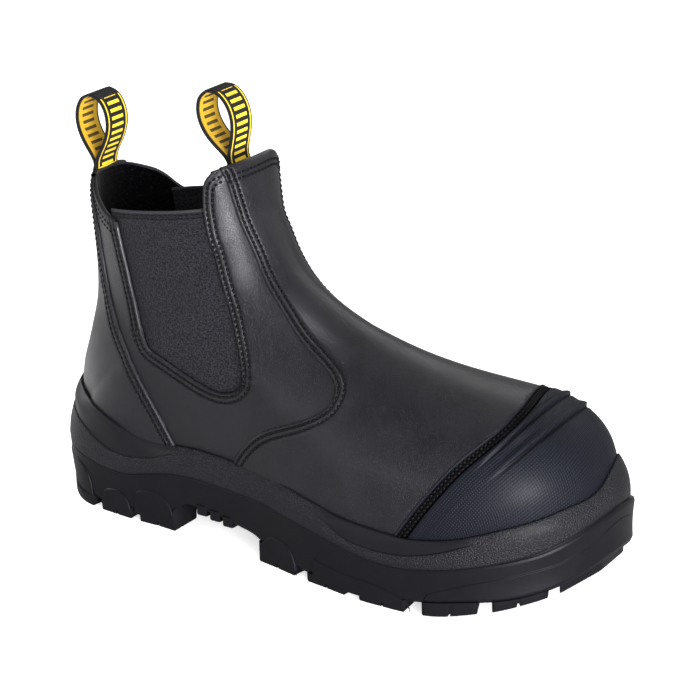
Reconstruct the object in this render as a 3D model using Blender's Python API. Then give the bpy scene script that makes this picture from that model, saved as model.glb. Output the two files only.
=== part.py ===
"""Safety boot, right foot: elastic-sided leather ankle boot on a moulded cup sole.

Built toe along +X, outer (lateral) side along -Y, floor at z = 0. Sizes are in millimetres and
are turned into metres as each mesh is made.
"""

import math

import bmesh
import bpy
import numpy as np

for leftover in list(bpy.data.objects):
    bpy.data.objects.remove(leftover, do_unlink=True)

MM = 0.001

# Driving sizes
LENGTH = 315.0
BALL_WIDTH = 119.0
COLLAR_HEIGHT = 192.0
HEEL_HEIGHT = 37.0
WALL = 2.2
GAP = 0.3

# The tables below are drawn for this size of boot and follow the driving sizes.
DRAWN_LENGTH = 315.0
DRAWN_BALL_WIDTH = 119.0
DRAWN_COLLAR_HEIGHT = 192.0
DRAWN_HEEL_HEIGHT = 37.0
ALONG = LENGTH / DRAWN_LENGTH
ACROSS = BALL_WIDTH / DRAWN_BALL_WIDTH
UP = (COLLAR_HEIGHT - HEEL_HEIGHT) / (DRAWN_COLLAR_HEIGHT - DRAWN_HEEL_HEIGHT)

# Sections of the upper from the toe edge to the collar. Each lies in the plane through its edge
# point and its ridge point. Widths are half-widths from the boot's middle line. "widest" is where
# along the section it is widest (below 0 it narrows all the way), the two powers round its front
# and back, "dip" lowers its sides.
SECTION_COLUMNS = (
    "edge_x", "edge_z", "edge_lateral", "edge_medial", "ridge_x", "ridge_z", "ridge_y",
    "half_lateral", "half_medial", "widest", "front_power", "back_power", "dip",
)
SECTIONS = {
    "toe_edge": (252, 30, 51.3, 53.2, 307, 43, 10, 51.3, 53.2, -0.50, 2.15, 2.2, 0),
    "toe_wall": (245, 29.7, 52.6, 54, 308, 60, 10, 52.6, 54, -0.25, 2.3, 2.2, 0),
    "toe_turn": (238, 29.5, 53.5, 54.2, 301, 80, 9, 53.5, 54.2, 0.00, 2.35, 2.2, 0),
    "toe_top": (230, 29.7, 54, 54, 283, 92.7, 7, 55.2, 54.4, 0.07, 2.4, 2.2, 0),
    "cap_edge": (222, 30, 54, 53.4, 261, 97, 6, 55.5, 53.8, 0.10, 2.35, 2.2, 0),
    "ball": (195, 30.5, 53, 47, 226, 100.5, 5, 54, 48, 0.12, 2.25, 2.2, 0),
    "waist": (160, 34, 47, 38, 188, 108.5, 3, 49, 42, 0.14, 2.2, 2.2, 0),
    "instep": (118, 37, 41, 34, 153.5, 123, 2, 43, 38, 0.20, 2.25, 2.1, 0),
    "throat": (76, 37, 38, 35, 133, 140.5, 1, 40, 37, 0.34, 2.35, 2.1, 0),
    "heel_side": (40, 36.5, 34, 33, 124.5, 155, 1, 39, 37, 0.45, 2.5, 2.05, 0),
    "heel_round": (19, 36.5, 21, 21, 120.5, 164, 0, 38, 36, 0.50, 2.6, 2.0, 0),
    "heel_back": (13, 37, 0, 0, 118.5, 170, 0, 37, 36, 0.53, 2.7, 2.0, 0),
    "heel_swell": (12, 62, 0, 0, 117, 178, 0, 36.5, 35.5, 0.55, 2.75, 2.0, 3),
    "ankle": (16.5, 112, 0, 0, 115.5, 185, 0, 36, 36, 0.57, 2.8, 2.1, 12),
    "collar": (17, 174, 0, 0, 113.5, 192, 0, 36, 36, 0.60, 2.9, 2.3, 22),
}
NAMES = list(SECTIONS)
HEEL = NAMES.index("heel_back")
COLLAR = NAMES.index("collar")
CAP = NAMES.index("cap_edge")
DIP_LEAN = 0.70

# Layers of the upper, as distances outside the face that the sections describe
UPPER_FACE = -1.2
OVERLAY_FACE = 0.4
OVERLAY_BACK = -0.55
CAP_FACE = 1.3
RIB_RISE = 1.2
GUSSET_FACE = UPPER_FACE - WALL - 0.7
GUSSET_THICK = 1.2
ROOM_LAP = 0.06
ROOM_GAP = 0.4

# Rear and front edges of the side notch, by height above the floor
NOTCH_COLUMNS = ("z", "rear_x", "front_x")
NOTCH = (
    (81.5, 107, 118),
    (84, 97, 122.5),
    (88, 86, 125.5),
    (92, 75.5, 124.5),
    (95.5, 68.5, 123.3),
    (104, 64, 119.5),
    (114, 61, 115.8),
    (131, 56, 110),
    (146, 51.3, 105.5),
    (160, 47, 102.5),
    (168, 42, 101.3),
    (173, 34, 100.8),
    (182, 27, 101),
    (187, 27, 103),
    (191, 27, 108),
    (200, 27, 112),
)
NOTCH_DEPTH = (12, 75)
GUSSET_LAP = 6.0
GUSSET_TOP = (160.5, 172.0)

# Seams in section coordinates: u counts sections from the toe edge, v runs from the lateral
# edge (0) over the ridge (0.5) to the medial edge (1)
CAP_SEAM = ((0.0, 4.08), (0.13, 4.02), (0.24, 3.95), (0.36, 3.70), (0.5, 3.72))
VAMP_TURN = (6.07, 0.285)
VAMP_FOOT_SEAM = ((0.0, 6.95), (0.05, 6.94), (0.09, 6.90), (0.14, 6.77), (0.18, 6.54), (0.22, 6.27),
                  (0.26, 6.09), VAMP_TURN[::-1])
VAMP_SHAFT_SEAM = (VAMP_TURN, (6.11, 0.312), (6.37, 0.346), (6.92, 0.377), (7.5, 0.409), (8.27, 0.430),
                   (9.19, 0.441), (11.1, 0.447), (12.7, 0.432), (14.0, 0.414))
COUNTER_COLUMNS = ("seam_u", "seam_v", "back_u")
COUNTER = (
    (14.0, 0.055, 14.0),
    (13.6, 0.077, 13.6),
    (13.17, 0.096, 13.2),
    (12.64, 0.135, 12.8),
    (11.7, 0.180, 12.4),
    (10.2, 0.172, 12.05),
    (8.86, 0.134, 11.75),
    (8.29, 0.086, 11.55),
    (7.87, 0.040, 11.4),
    (7.64, 0.012, 11.25),
)
EDGE_MARGIN = 0.008
COUNTER_LIFT = 0.02
CAP_RIBS = (2.72, 3.24)
RIB_HALF_U = 0.07

# Plan of the sole: lateral and medial half-widths, by distance from the heel
PLAN_COLUMNS = ("x", "lateral", "medial")
PLAN = (
    (0, -4, 4),
    (3, 13, 20),
    (10, 27.5, 31),
    (25, 39, 40),
    (50, 43.5, 42.5),
    (80, 44, 41),
    (110, 45.5, 39.5),
    (140, 49.5, 41.5),
    (170, 55.5, 46.5),
    (200, 60, 53.5),
    (222, 61, 57.5),
    (250, 58.5, 58),
    (275, 50.5, 53.5),
    (296, 36, 43.5),
    (308.5, 18, 30.6),
    (315, -7, 7),
)
# Side of the sole by distance from the heel: tread plane, underside, parting line, top of the
# grained band, top of the lip, and how far the lip stands in from the plan
SIDE_COLUMNS = ("x", "tread", "underside", "parting", "band", "lip", "lip_in")
SIDE = (
    (0, 6, 14, 31, 56, 64, 6),
    (10, 1.5, 10, 30, 54, 62.5, 5),
    (25, 0, 8, 29, 48, 58, 3.6),
    (35, 0, 8, 28, 41, 52, 2.6),
    (50, 0, 8, 26, 35, 45.5, 2),
    (68, 0, 8, 26, 36.5, 43.8, 1.8),
    (86, 0, 8, 29, 41.5, 44.5, 1.8),
    (97, 0, 16.5, 31, 42.5, 45, 1.8),
    (118, 0, 18.5, 31.5, 43, 45.5, 1.8),
    (134, 0, 16.5, 31.5, 43.5, 46, 1.8),
    (143, 0, 8, 31.5, 43.5, 46, 1.8),
    (172, 0, 8, 30, 44, 46.5, 1.8),
    (193, 0, 8, 27.5, 43, 45.5, 1.8),
    (212, 0, 8, 25, 35.5, 40.5, 2),
    (230, 0, 8, 23, 30.5, 37.3, 2.2),
    (250, 1, 9, 22, 29.5, 37, 2.4),
    (264, 4, 12, 22.5, 34, 39, 2.6),
    (280, 8, 16, 24.5, 43, 46.5, 3),
    (297, 13, 21, 30, 53, 57, 3.8),
    (308, 17.5, 25.5, 36.5, 59, 63.5, 4.5),
    (318, 26, 33, 44, 63, 68, 5),
)
STATIONS = 60
BAND_IN = 0.3
BAND_STEP = 1.2
OUTSOLE_IN = 1.1
PARTING_IN = 1.5
TREAD_IN = 1.6

# Edge lugs: where each begins and ends along the boot
LUGS = ((12, 36), (41, 62), (67, 88), (142, 167), (176, 199.5), (209, 233), (243, 266.5), (275.5, 297))
LUG_DEPTH = 21.0
LUG_ARCH = 9.0
LUG_TAPER = 2.5
MIDDLE_LUGS = ((24, 13), (52, 15), (78, 15), (157, 16), (189, 24), (222, 28), (255, 26))
MIDDLE_LUG_LENGTH = 20.0
TOE_LUG = (300, 313.5)
WAIST_RIBS = (104, 114, 124)
WAIST_RIB = (5.0, 3.0)
RIB_IN = 2.5

INSOLE_THICK = 3.0
WEBBING_WIDTH = 18.0
WEBBING_THICK = 1.5
TAIL_SPREAD = 1.1
TAIL_LENGTH = 13.0
# One side of a pull loop: height above the collar and how far it stands from the loop's middle
LOOP_COLUMNS = ("rise", "out")
LOOP = ((0, 0.045), (4, 0.18), (10, 0.56), (17, 0.90), (24, 1.0), (30, 0.86), (34.5, 0.52), (36.5, 0.0))
LOOP_HALF = 9.5
BACK_LOOP = {"x": 24.4, "z": 173.5, "lean": 0.02}
FRONT_LOOP = {"x": 107.5, "z": 191.0, "lean": -0.30}

COLOURS = {
    "leather": (0.026, 0.026, 0.029),
    "cap_rubber": (0.036, 0.038, 0.044),
    "sole_rubber": (0.022, 0.022, 0.024),
    "band_rubber": (0.030, 0.030, 0.032),
    "elastic": (0.045, 0.045, 0.050),
    "foot_bed": (0.030, 0.030, 0.034),
    "webbing": (0.35, 0.24, 0.03),
}


# Curves through tables

def through(rows):
    """Smooth curve through the rows of a table, read at a row number that may be a fraction."""
    rows = np.asarray(rows, float)
    count = len(rows)
    system = 4.0 * np.eye(count)
    system[0, 0] = system[-1, -1] = 1.0
    bend = np.zeros_like(rows)
    for i in range(1, count - 1):
        system[i, i - 1] = system[i, i + 1] = 1.0
        bend[i] = 6.0 * (rows[i - 1] - 2.0 * rows[i] + rows[i + 1])
    bend = np.linalg.solve(system, bend)

    def read(at):
        low = int(min(max(math.floor(at), 0), count - 2))
        t = at - low
        s = 1.0 - t
        flat = s * rows[low] + t * rows[low + 1]
        return flat + ((s ** 3 - s) * bend[low] + (t ** 3 - t) * bend[low + 1]) / 6.0

    return read


def column(table, columns, name, at):
    """Value of one named column, read along the table's first column."""
    rows = np.asarray(table, float)
    return np.interp(at, rows[:, 0], rows[:, columns.index(name)])


def evenly(points, count):
    """The same path with its points spread evenly along it."""
    steps = np.linalg.norm(np.diff(points, axis=0), axis=1)
    run = np.concatenate([[0.0], np.cumsum(steps)])
    at = np.linspace(0.0, run[-1], count)
    return np.stack([np.interp(at, run, points[:, k]) for k in range(points.shape[1])], axis=1)


# Outer face of the upper

def raised(z):
    """Height of a drawn level once the heel height and collar height are set."""
    return HEEL_HEIGHT + (z - DRAWN_HEEL_HEIGHT) * UP


def section_table():
    rows = np.array([SECTIONS[name] for name in NAMES], float)
    place = {name: k for k, name in enumerate(SECTION_COLUMNS)}
    for name in ("edge_x", "ridge_x"):
        rows[:, place[name]] *= ALONG
    for name in ("edge_lateral", "edge_medial", "ridge_y", "half_lateral", "half_medial"):
        rows[:, place[name]] *= ACROSS
    for name in ("edge_z", "ridge_z"):
        rows[:, place[name]] = raised(rows[:, place[name]])
    # Past the heel the edge widths run on mirrored, so that the edge closes round.
    for k in range(1, len(rows) - HEEL):
        for name in ("edge_lateral", "edge_medial"):
            rows[HEEL + k, place[name]] = -rows[HEEL - k, place[name]]
    return through(rows)


SECTION_AT = section_table()
EDGE_Z = [SECTION_AT(k)[SECTION_COLUMNS.index("edge_z")] for k in range(len(NAMES))]


def edge_height(u):
    """Height of the upper's bottom edge, straight from section to section."""
    return np.interp(u, np.arange(len(NAMES)), EDGE_Z)


def half_section(widest, half, edge, front_power, back_power, count=120):
    """One side of a section: distance along it (0 to 1) and half-width, from edge to ridge."""
    parts = []
    if widest > 1e-6:
        edge = min(max(edge, 0.0), 0.9999 * half)
        reach = (1.0 - (edge / half) ** back_power) ** (1.0 / back_power)
        turn = np.linspace(-math.asin(reach ** (back_power / 2.0)), 0.0, count)[:-1]
        along = widest - widest / reach * np.abs(np.sin(turn)) ** (2.0 / back_power)
        parts.append(np.stack([along, half * np.cos(turn) ** (2.0 / back_power)], axis=1))
    first = 0.0
    if widest < 0.0:
        first = math.asin((-widest / (1.0 - widest)) ** (front_power / 2.0))
        half = edge / math.cos(first) ** (2.0 / front_power)
    turn = np.linspace(first, math.pi / 2.0, count)
    along = widest + (1.0 - widest) * np.sin(turn) ** (2.0 / front_power)
    parts.append(np.stack([along, half * np.abs(np.cos(turn)) ** (2.0 / front_power)], axis=1))
    return np.concatenate(parts)


def section(u, side_count):
    """Even points of one section, from the lateral edge over the ridge to the medial edge."""
    at = dict(zip(SECTION_COLUMNS, SECTION_AT(u)))
    if u < HEEL:
        at["edge_z"] = edge_height(u)
    edge = np.array([at["edge_x"], at["edge_z"]])
    ridge = np.array([at["ridge_x"], at["ridge_z"]])
    sides = []
    for sign, half, foot in ((-1, "half_lateral", "edge_lateral"), (1, "half_medial", "edge_medial")):
        middle = sign * at["ridge_y"]
        foot_width = at[foot] - middle if u < HEEL else 0.0
        curve = half_section(at["widest"], at[half] - middle, foot_width,
                             at["front_power"], at["back_power"])
        along = np.clip(curve[:, 0], 0.0, 1.0)
        plane = edge + along[:, None] * (ridge - edge)
        drop = at["dip"] * np.sin(math.pi * along ** DIP_LEAN) ** 2
        y = at["ridge_y"] + sign * curve[:, 1]
        sides.append(evenly(np.stack([plane[:, 0], y, plane[:, 1] - drop], axis=1), side_count))
    return np.concatenate([sides[0], sides[1][::-1][1:]])


NET_PER_ROW = 16
NET_SIDE = 81
NET = np.array([section(u, NET_SIDE) for u in np.linspace(0, COLLAR, COLLAR * NET_PER_ROW + 1)])


def net_normals(net):
    flow = np.cross(np.gradient(net, axis=1), np.gradient(net, axis=0))
    flow /= np.maximum(np.linalg.norm(flow, axis=2, keepdims=True), 1e-9)
    if flow[len(net) // 2, NET_SIDE - 1][2] < 0.0:
        flow = -flow
    closed = slice(HEEL * NET_PER_ROW, None)
    seam = flow[closed, 0] + flow[closed, -1]
    seam /= np.linalg.norm(seam, axis=1, keepdims=True)
    flow[closed, 0] = flow[closed, -1] = seam
    return flow


NET_NORMAL = net_normals(NET)


def on_last(u, v, lift=0.0):
    """Points at section coordinates (u, v), lifted outward from the face by a distance."""
    u, v, lift = np.broadcast_arrays(np.asarray(u, float), np.asarray(v, float), np.asarray(lift, float))
    v = np.where((u >= HEEL) & (v >= 1.0), 0.0, v)
    row = np.clip(u * NET_PER_ROW, 0.0, len(NET) - 1.0)
    col = np.clip(v * (NET.shape[1] - 1), 0.0, NET.shape[1] - 1.0)
    r = np.minimum(row.astype(int), len(NET) - 2)
    c = np.minimum(col.astype(int), NET.shape[1] - 2)
    s = (row - r)[..., None]
    t = (col - c)[..., None]

    def blend(net):
        low = (1 - t) * net[r, c] + t * net[r, c + 1]
        high = (1 - t) * net[r + 1, c] + t * net[r + 1, c + 1]
        return (1 - s) * low + s * high

    normal = blend(NET_NORMAL)
    normal /= np.linalg.norm(normal, axis=-1, keepdims=True)
    return blend(NET) + lift[..., None] * normal


# Meshes

def collection(name):
    made = bpy.data.collections.new(name)
    bpy.context.scene.collection.children.link(made)
    return made


PARTS = collection("safety_boot")
CUTTERS = collection("cutters")
BOOT = bpy.data.objects.new("safety_boot", None)
PARTS.objects.link(BOOT)


def material(name, rough):
    made = bpy.data.materials.new(name)
    made.use_nodes = True
    shader = made.node_tree.nodes["Principled BSDF"]
    shader.inputs["Base Color"].default_value = (*COLOURS[name], 1.0)
    shader.inputs["Roughness"].default_value = rough
    shader.inputs["Metallic"].default_value = 0.0
    return made


def body(name, points, faces, look=None, rough=0.5):
    """Closed mesh object from points in millimetres; without a look it is a cutter."""
    mesh = bpy.data.meshes.new(name)
    mesh.from_pydata([tuple(p) for p in np.asarray(points) * MM], [], faces)
    shell = bmesh.new()
    shell.from_mesh(mesh)
    bmesh.ops.recalc_face_normals(shell, faces=shell.faces)
    shell.to_mesh(mesh)
    shell.free()
    made = bpy.data.objects.new(name, mesh)
    made.parent = BOOT
    if look:
        PARTS.objects.link(made)
        mesh.materials.append(bpy.data.materials.get(look) or material(look, rough))
    else:
        CUTTERS.objects.link(made)
        made.hide_render = True
        made.display_type = "WIRE"
    return made


def combine(piece, tool, operation):
    step = piece.modifiers.new(f"{operation.lower()} {tool.name}", "BOOLEAN")
    step.operation = operation
    step.solver = "EXACT"
    step.object = tool


def grid_faces(rows, cols):
    """Triangles of a grid, every cell cut along the same diagonal."""
    faces = []
    for r in range(rows - 1):
        for c in range(cols - 1):
            a = r * cols + c
            d = a + cols
            faces += [(a, a + 1, d + 1), (a, d + 1, d)]
    return faces


def sheet(grids):
    """Points and faces of one or more grids, with points that coincide made one."""
    points = []
    number = {}
    faces = []
    for grid in grids:
        rows, cols = grid.shape[:2]
        flat = grid.reshape(-1, grid.shape[2])
        place = []
        for p in flat:
            key = tuple(np.round(p[:3], 4))
            if key not in number:
                number[key] = len(points)
                points.append(p)
            place.append(number[key])
        for face in grid_faces(rows, cols):
            corners = []
            for k in (place[i] for i in face):
                if k not in corners:
                    corners.append(k)
            if len(corners) > 2:
                faces.append(tuple(corners))
    return np.array(points), faces


def thicken(grids, backs):
    """Closed solid between matching grids: a face, a back and a rim along every open edge."""
    both = [np.concatenate([face, back], axis=2) for face, back in zip(grids, backs)]
    points, faces = sheet(both)
    count = len(points)
    used = {(f[i], f[(i + 1) % len(f)]) for f in faces for i in range(len(f))}
    rim = [(b, a, a + count, b + count) for a, b in used if (b, a) not in used]
    back = [tuple(i + count for i in reversed(f)) for f in faces]
    return np.concatenate([points[:, :3], points[:, 3:]]), faces + back + rim


def layer(patches, low, high):
    """Solid layer of the upper over patches of section coordinates (u, v, extra lift)."""
    faces = [on_last(u, v, high + rise) for u, v, rise in patches]
    backs = [on_last(u, v, low) for u, v, rise in patches]
    return thicken(faces, backs)


def ladder(count, first=0):
    """Faces that close a ring of points straight across the boot."""
    faces = []
    for k in range(count // 2):
        corners = []
        for i in (k, k + 1, count - k - 1, (count - k) % count):
            if first + i not in corners:
                corners.append(first + i)
        faces += [(corners[0], *pair) for pair in zip(corners[1:], corners[2:])]
    return faces


def stack(rings):
    """Closed solid through rings of equal count, lowest first."""
    count = len(rings[0])
    faces = [tuple(reversed(f)) for f in ladder(count)]
    for level in range(len(rings) - 1):
        low = level * count
        high = low + count
        for k in range(count):
            n = (k + 1) % count
            faces.append((low + k, low + n, high + n, high + k))
    faces += ladder(count, (len(rings) - 1) * count)
    return np.concatenate(rings), faces


def prism(outline, span):
    """Solid with the given (x, z) outline between two distances across the boot."""
    count = len(outline)
    near = [(x, span[0], z) for x, z in outline]
    far = [(x, span[1], z) for x, z in outline]
    faces = [tuple(range(count)), tuple(reversed(range(count, 2 * count)))]
    faces += [(k, (k + 1) % count, count + (k + 1) % count, count + k) for k in range(count)]
    return np.array(near + far), faces


# Sole plan

def plan_curve():
    """Even points round the sole, from the heel along the lateral side to the toe and back."""
    rows = np.asarray(PLAN, float)
    lateral = np.stack([rows[:, 0], -rows[:, 1]], axis=1)
    medial = np.stack([rows[1:-1, 0], rows[1:-1, 2]], axis=1)[::-1]
    ring = np.concatenate([lateral, medial])
    dense = []
    for k in range(len(ring)):
        a, b, c, d = (ring[(k + i) % len(ring)] for i in (-1, 0, 1, 2))
        for t in np.linspace(0.0, 1.0, 12, endpoint=False):
            dense.append(0.5 * (2 * b + (c - a) * t + (2 * a - 5 * b + 4 * c - d) * t ** 2
                                + (3 * b - a - 3 * c + d) * t ** 3))
    dense.append(dense[0])
    return np.array(dense) * (ALONG, ACROSS)


PLAN_CURVE = plan_curve()
PLAN_RING = evenly(PLAN_CURVE, STATIONS + 1)[:-1]


def outward(ring):
    run = np.roll(ring, -1, axis=0) - np.roll(ring, 1, axis=0)
    side = np.stack([run[:, 1], -run[:, 0]], axis=1)
    return side / np.linalg.norm(side, axis=1, keepdims=True)


PLAN_OUT = outward(PLAN_RING)


def side_at(name, x):
    value = column(SIDE, SIDE_COLUMNS, name, np.asarray(x) / ALONG)
    return value * HEEL_HEIGHT / DRAWN_HEEL_HEIGHT if name != "lip_in" else value


def ring(name, inset, rise=0.0):
    """Ring round the sole at the height of a column of the side table."""
    flat = PLAN_RING - PLAN_OUT * np.broadcast_to(inset, STATIONS)[:, None]
    height = side_at(name, PLAN_RING[:, 0]) + rise
    return np.column_stack([flat, height])


# Upper, with a notch on each side for the elastic

upper_u = np.arange(0, COLLAR + 0.25, 0.5)
upper_v = np.linspace(0.0, 1.0, 25)
upper_net = np.meshgrid(upper_u, upper_v, indexing="ij")
outer_face = on_last(upper_net[0], upper_net[1], UPPER_FACE)
inner_face = on_last(upper_net[0], upper_net[1], UPPER_FACE - WALL)
for r in np.flatnonzero(upper_u <= HEEL):
    for c in (0, -1):
        outer_face[r, c, 2] = inner_face[r, c, 2] = edge_height(upper_u[r])
upper = body("upper", *thicken([outer_face], [inner_face]), "leather", 0.42)


def notch_outline(grow=0.0):
    """Outline of the side notch in side view, made larger by a distance."""
    rows = np.asarray(NOTCH, float)
    z = raised(rows[:, 0])
    z[0] -= grow
    rear = np.stack([rows[:, 1] * ALONG - grow, z], axis=1)
    front = np.stack([rows[:, 2] * ALONG + grow, z], axis=1)
    return np.concatenate([rear[::-1], front])


SIDES = {"lateral": -1, "medial": 1}
for side, sign in SIDES.items():
    span = sorted(sign * d * ACROSS for d in NOTCH_DEPTH)
    tool = body(f"notch_{side}", *prism(notch_outline(), span))
    combine(upper, tool, "DIFFERENCE")

# Elastic gussets, lying inside the wall and lapping the notch edges

for side, sign in SIDES.items():
    gusset_u = np.linspace(6.6, COLLAR, 12)
    gusset_v = np.linspace(0.06, 0.45, 9)
    gusset_v = gusset_v if sign < 0 else 1.0 - gusset_v
    gusset_net = np.meshgrid(gusset_u, gusset_v, indexing="ij")
    made = layer([(gusset_net[0], gusset_net[1], 0.0)], GUSSET_FACE - GUSSET_THICK, GUSSET_FACE)
    gusset = body(f"gusset_{side}", *made, "elastic", 0.8)
    outline = notch_outline(GUSSET_LAP)
    rear_x = column(NOTCH, NOTCH_COLUMNS, "rear_x", GUSSET_TOP[0]) * ALONG - GUSSET_LAP
    front_x = column(NOTCH, NOTCH_COLUMNS, "front_x", GUSSET_TOP[1]) * ALONG + GUSSET_LAP
    top_z = raised(np.array(GUSSET_TOP))
    below = [p for p in outline if p[1] < np.interp(p[0], (rear_x, front_x), top_z) - 1.0]
    outline = [(rear_x, top_z[0])] + [tuple(p) for p in below] + [(front_x, top_z[1])]
    tool = body(f"gusset_outline_{side}", *prism(outline, sorted((sign * 8.0, sign * 75.0))))
    combine(gusset, tool, "INTERSECT")


# Leather overlays and toe cap

def mirrored(pairs):
    """Seam table from the lateral edge to the ridge, carried on to the medial edge."""
    return tuple(pairs) + tuple((1.0 - v, u) for v, u in reversed(pairs[:-1]))


def other_side(u, v):
    """The same patch on the medial side, its columns turned round so that it faces outward."""
    return u[:, ::-1], 1.0 - v[:, ::-1], 0.0


def cap_edge_u(v):
    rows = np.asarray(mirrored(CAP_SEAM))
    return np.interp(v, rows[:, 0], rows[:, 1])


def seam_columns():
    """Places across the boot shared by the cap and the vamp."""
    low = np.linspace(EDGE_MARGIN, VAMP_TURN[1], 7)
    high = np.linspace(VAMP_TURN[1], 0.5, 6)
    half = np.concatenate([low, high[1:]])
    return np.concatenate([half, 1.0 - half[::-1][1:]])


def cap_patch(lap=0.0):
    """Toe cap; with a lap its room reaches past the seam and down to the edge."""
    v = seam_columns()
    levels = [0.12, 0.5, 0.9, 1.3, 1.7, 2.1, 2.45]
    for u in CAP_RIBS:
        levels += [u - 2 * RIB_HALF_U, u - RIB_HALF_U, u + RIB_HALF_U, u + 2 * RIB_HALF_U]
    rows = [np.full_like(v, u) for u in levels] + [cap_edge_u(v)]
    u = np.array(rows)
    if lap:
        u = np.concatenate([np.zeros((1, len(v))), u, u[-1:] + lap])
        u = u[:, [0, *range(len(v)), -1]]
        v = np.concatenate([[0.0], v, [1.0]])
    middle = np.clip((0.5 - np.abs(v - 0.5) - 0.24) / 0.10, 0.0, 1.0)
    rib = sum(np.abs(u - at) < 1.5 * RIB_HALF_U for at in CAP_RIBS)
    return [(u, np.broadcast_to(v, u.shape), RIB_RISE * rib * middle)]


def vamp_patches(lap=0.0):
    """Vamp and front of the shaft, in two patches on each side."""
    v = seam_columns()[:12]
    foot = np.asarray(VAMP_FOOT_SEAM)
    shaft = np.asarray(VAMP_SHAFT_SEAM)
    end = np.where(v < VAMP_TURN[1] - 1e-6, np.interp(v, foot[:, 0], foot[:, 1]), VAMP_TURN[0])
    start = cap_edge_u(v) + 0.012
    t = np.linspace(0.0, 1.0, 7)[:, None]
    foot_u = start + (end - start) * t
    if lap:
        foot_u = np.concatenate([foot_u, np.where(v < VAMP_TURN[1] - 1e-6, end + lap, end)[None]])
        foot_u = foot_u[:, [0, *range(len(v))]]
        v = np.concatenate([[0.0], v])
    foot_v = np.broadcast_to(v, foot_u.shape)
    rise = np.concatenate([[VAMP_TURN[0], 6.25, 6.6, 7.0], np.arange(7.5, 10.1, 0.5), [11.0, 12.0, 13.0, 14.0]])
    seam = np.interp(rise, shaft[:, 0], shaft[:, 1])[:, None]
    shaft_v = seam + (0.5 - seam) * np.linspace(0.0, 1.0, 6)
    shaft_u = np.broadcast_to(rise[:, None], shaft_v.shape)
    patches = [(foot_u, foot_v, 0.0), (shaft_u, shaft_v, 0.0)]
    return patches + [other_side(u, v) for u, v, lift in patches]


def counter_patches(lap=0.0):
    """Heel counter and back of the shaft, one patch on each side of the back seam."""
    rows = np.array(COUNTER, float)
    rows = np.array([through(rows)(k) for k in np.linspace(0, len(rows) - 1, 17)])
    t = np.linspace(0.0, 1.0, 9)
    seam_u, seam_v, back_u = (rows[:, k, None] for k in range(3))
    u = seam_u + (back_u - seam_u) * t
    v = seam_v * (1.0 - t) + COUNTER_LIFT * (1.0 - (2.0 * t - 1.0) ** 6)
    if lap:
        u[:, 0] -= lap
        u = np.concatenate([u, np.minimum(u[-1:], HEEL)])
        v = np.concatenate([v, np.zeros((1, len(t)))])
    return [(u, v, 0.0), other_side(u, v)]


OVERLAYS = {
    "toe_cap": (cap_patch, CAP_FACE, "cap_rubber", 0.55),
    "vamp": (vamp_patches, OVERLAY_FACE, "leather", 0.42),
    "counter": (counter_patches, OVERLAY_FACE, "leather", 0.42),
}
clearances = []
for name, (patches, face, look, rough) in OVERLAYS.items():
    body(name, *layer(patches(), OVERLAY_BACK, face), look, rough)
    clearances.append(body(f"{name}_room", *layer(patches(ROOM_LAP), UPPER_FACE - WALL, face + ROOM_GAP)))


# Midsole: cup cut out round the upper

def last_solid():
    """Closed form of the upper with clearance, floor included."""
    net = on_last(upper_net[0], upper_net[1], UPPER_FACE + GAP)
    net[0, :, 2] -= GAP
    for r in np.flatnonzero(upper_u <= HEEL):
        net[r, 0, 2] = net[r, -1, 2] = edge_height(upper_u[r]) - GAP
    rows, cols = net.shape[:2]
    floor = [(r * cols, (r + 1) * cols, (r + 2) * cols - 1, (r + 1) * cols - 1)
             for r in range(rows - 1) if upper_u[r + 1] <= HEEL + 1e-6]
    points = net.reshape(-1, 3)
    number = {}
    place = [number.setdefault(tuple(np.round(p, 4)), k) for k, p in enumerate(points)]
    faces = []
    for face in grid_faces(rows, cols) + floor + ladder_row(cols, 0) + ladder_row(cols, (rows - 1) * cols):
        corners = []
        for k in (place[i] for i in face):
            if k not in corners:
                corners.append(k)
        if len(corners) > 2:
            faces.append(tuple(corners))
    return points, faces


def ladder_row(count, first):
    """Faces between the two halves of one section."""
    return [(first + k, first + k + 1, first + count - k - 2, first + count - k - 1)
            for k in range(count // 2)]


lip_in = side_at("lip_in", PLAN_RING[:, 0])
midsole = body("midsole", *stack([
    ring("parting", PARTING_IN),
    ring("parting", BAND_IN, 1.5),
    ring("band", BAND_IN),
    ring("band", BAND_IN + 0.5 * np.minimum(lip_in, 2 * BAND_STEP), 0.15),
    ring("lip", lip_in - 0.3, -0.8),
    ring("lip", lip_in + 0.3),
]), "band_rubber", 0.7)
foot_room = bpy.data.collections.new("foot_room")
CUTTERS.children.link(foot_room)
for tool in [body("last_room", *last_solid())] + clearances:
    foot_room.objects.link(tool)
hollow = midsole.modifiers.new("hollow", "BOOLEAN")
hollow.operation = "DIFFERENCE"
hollow.solver = "EXACT"
hollow.operand_type = "COLLECTION"
hollow.collection = foot_room

# Outsole: slab with heel block, waist and lugs

outsole = body("outsole", *stack([
    ring("underside", OUTSOLE_IN + 0.8),
    ring("underside", OUTSOLE_IN, 2.0),
    ring("parting", OUTSOLE_IN, -GAP - 1.2),
    ring("parting", PARTING_IN, -GAP),
]), "sole_rubber", 0.6)

CURVE_HALF = int(np.argmax(PLAN_CURVE[:, 0]))
EDGES = {"lateral": PLAN_CURVE[:CURVE_HALF + 1], "medial": PLAN_CURVE[CURVE_HALF:][::-1]}


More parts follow.
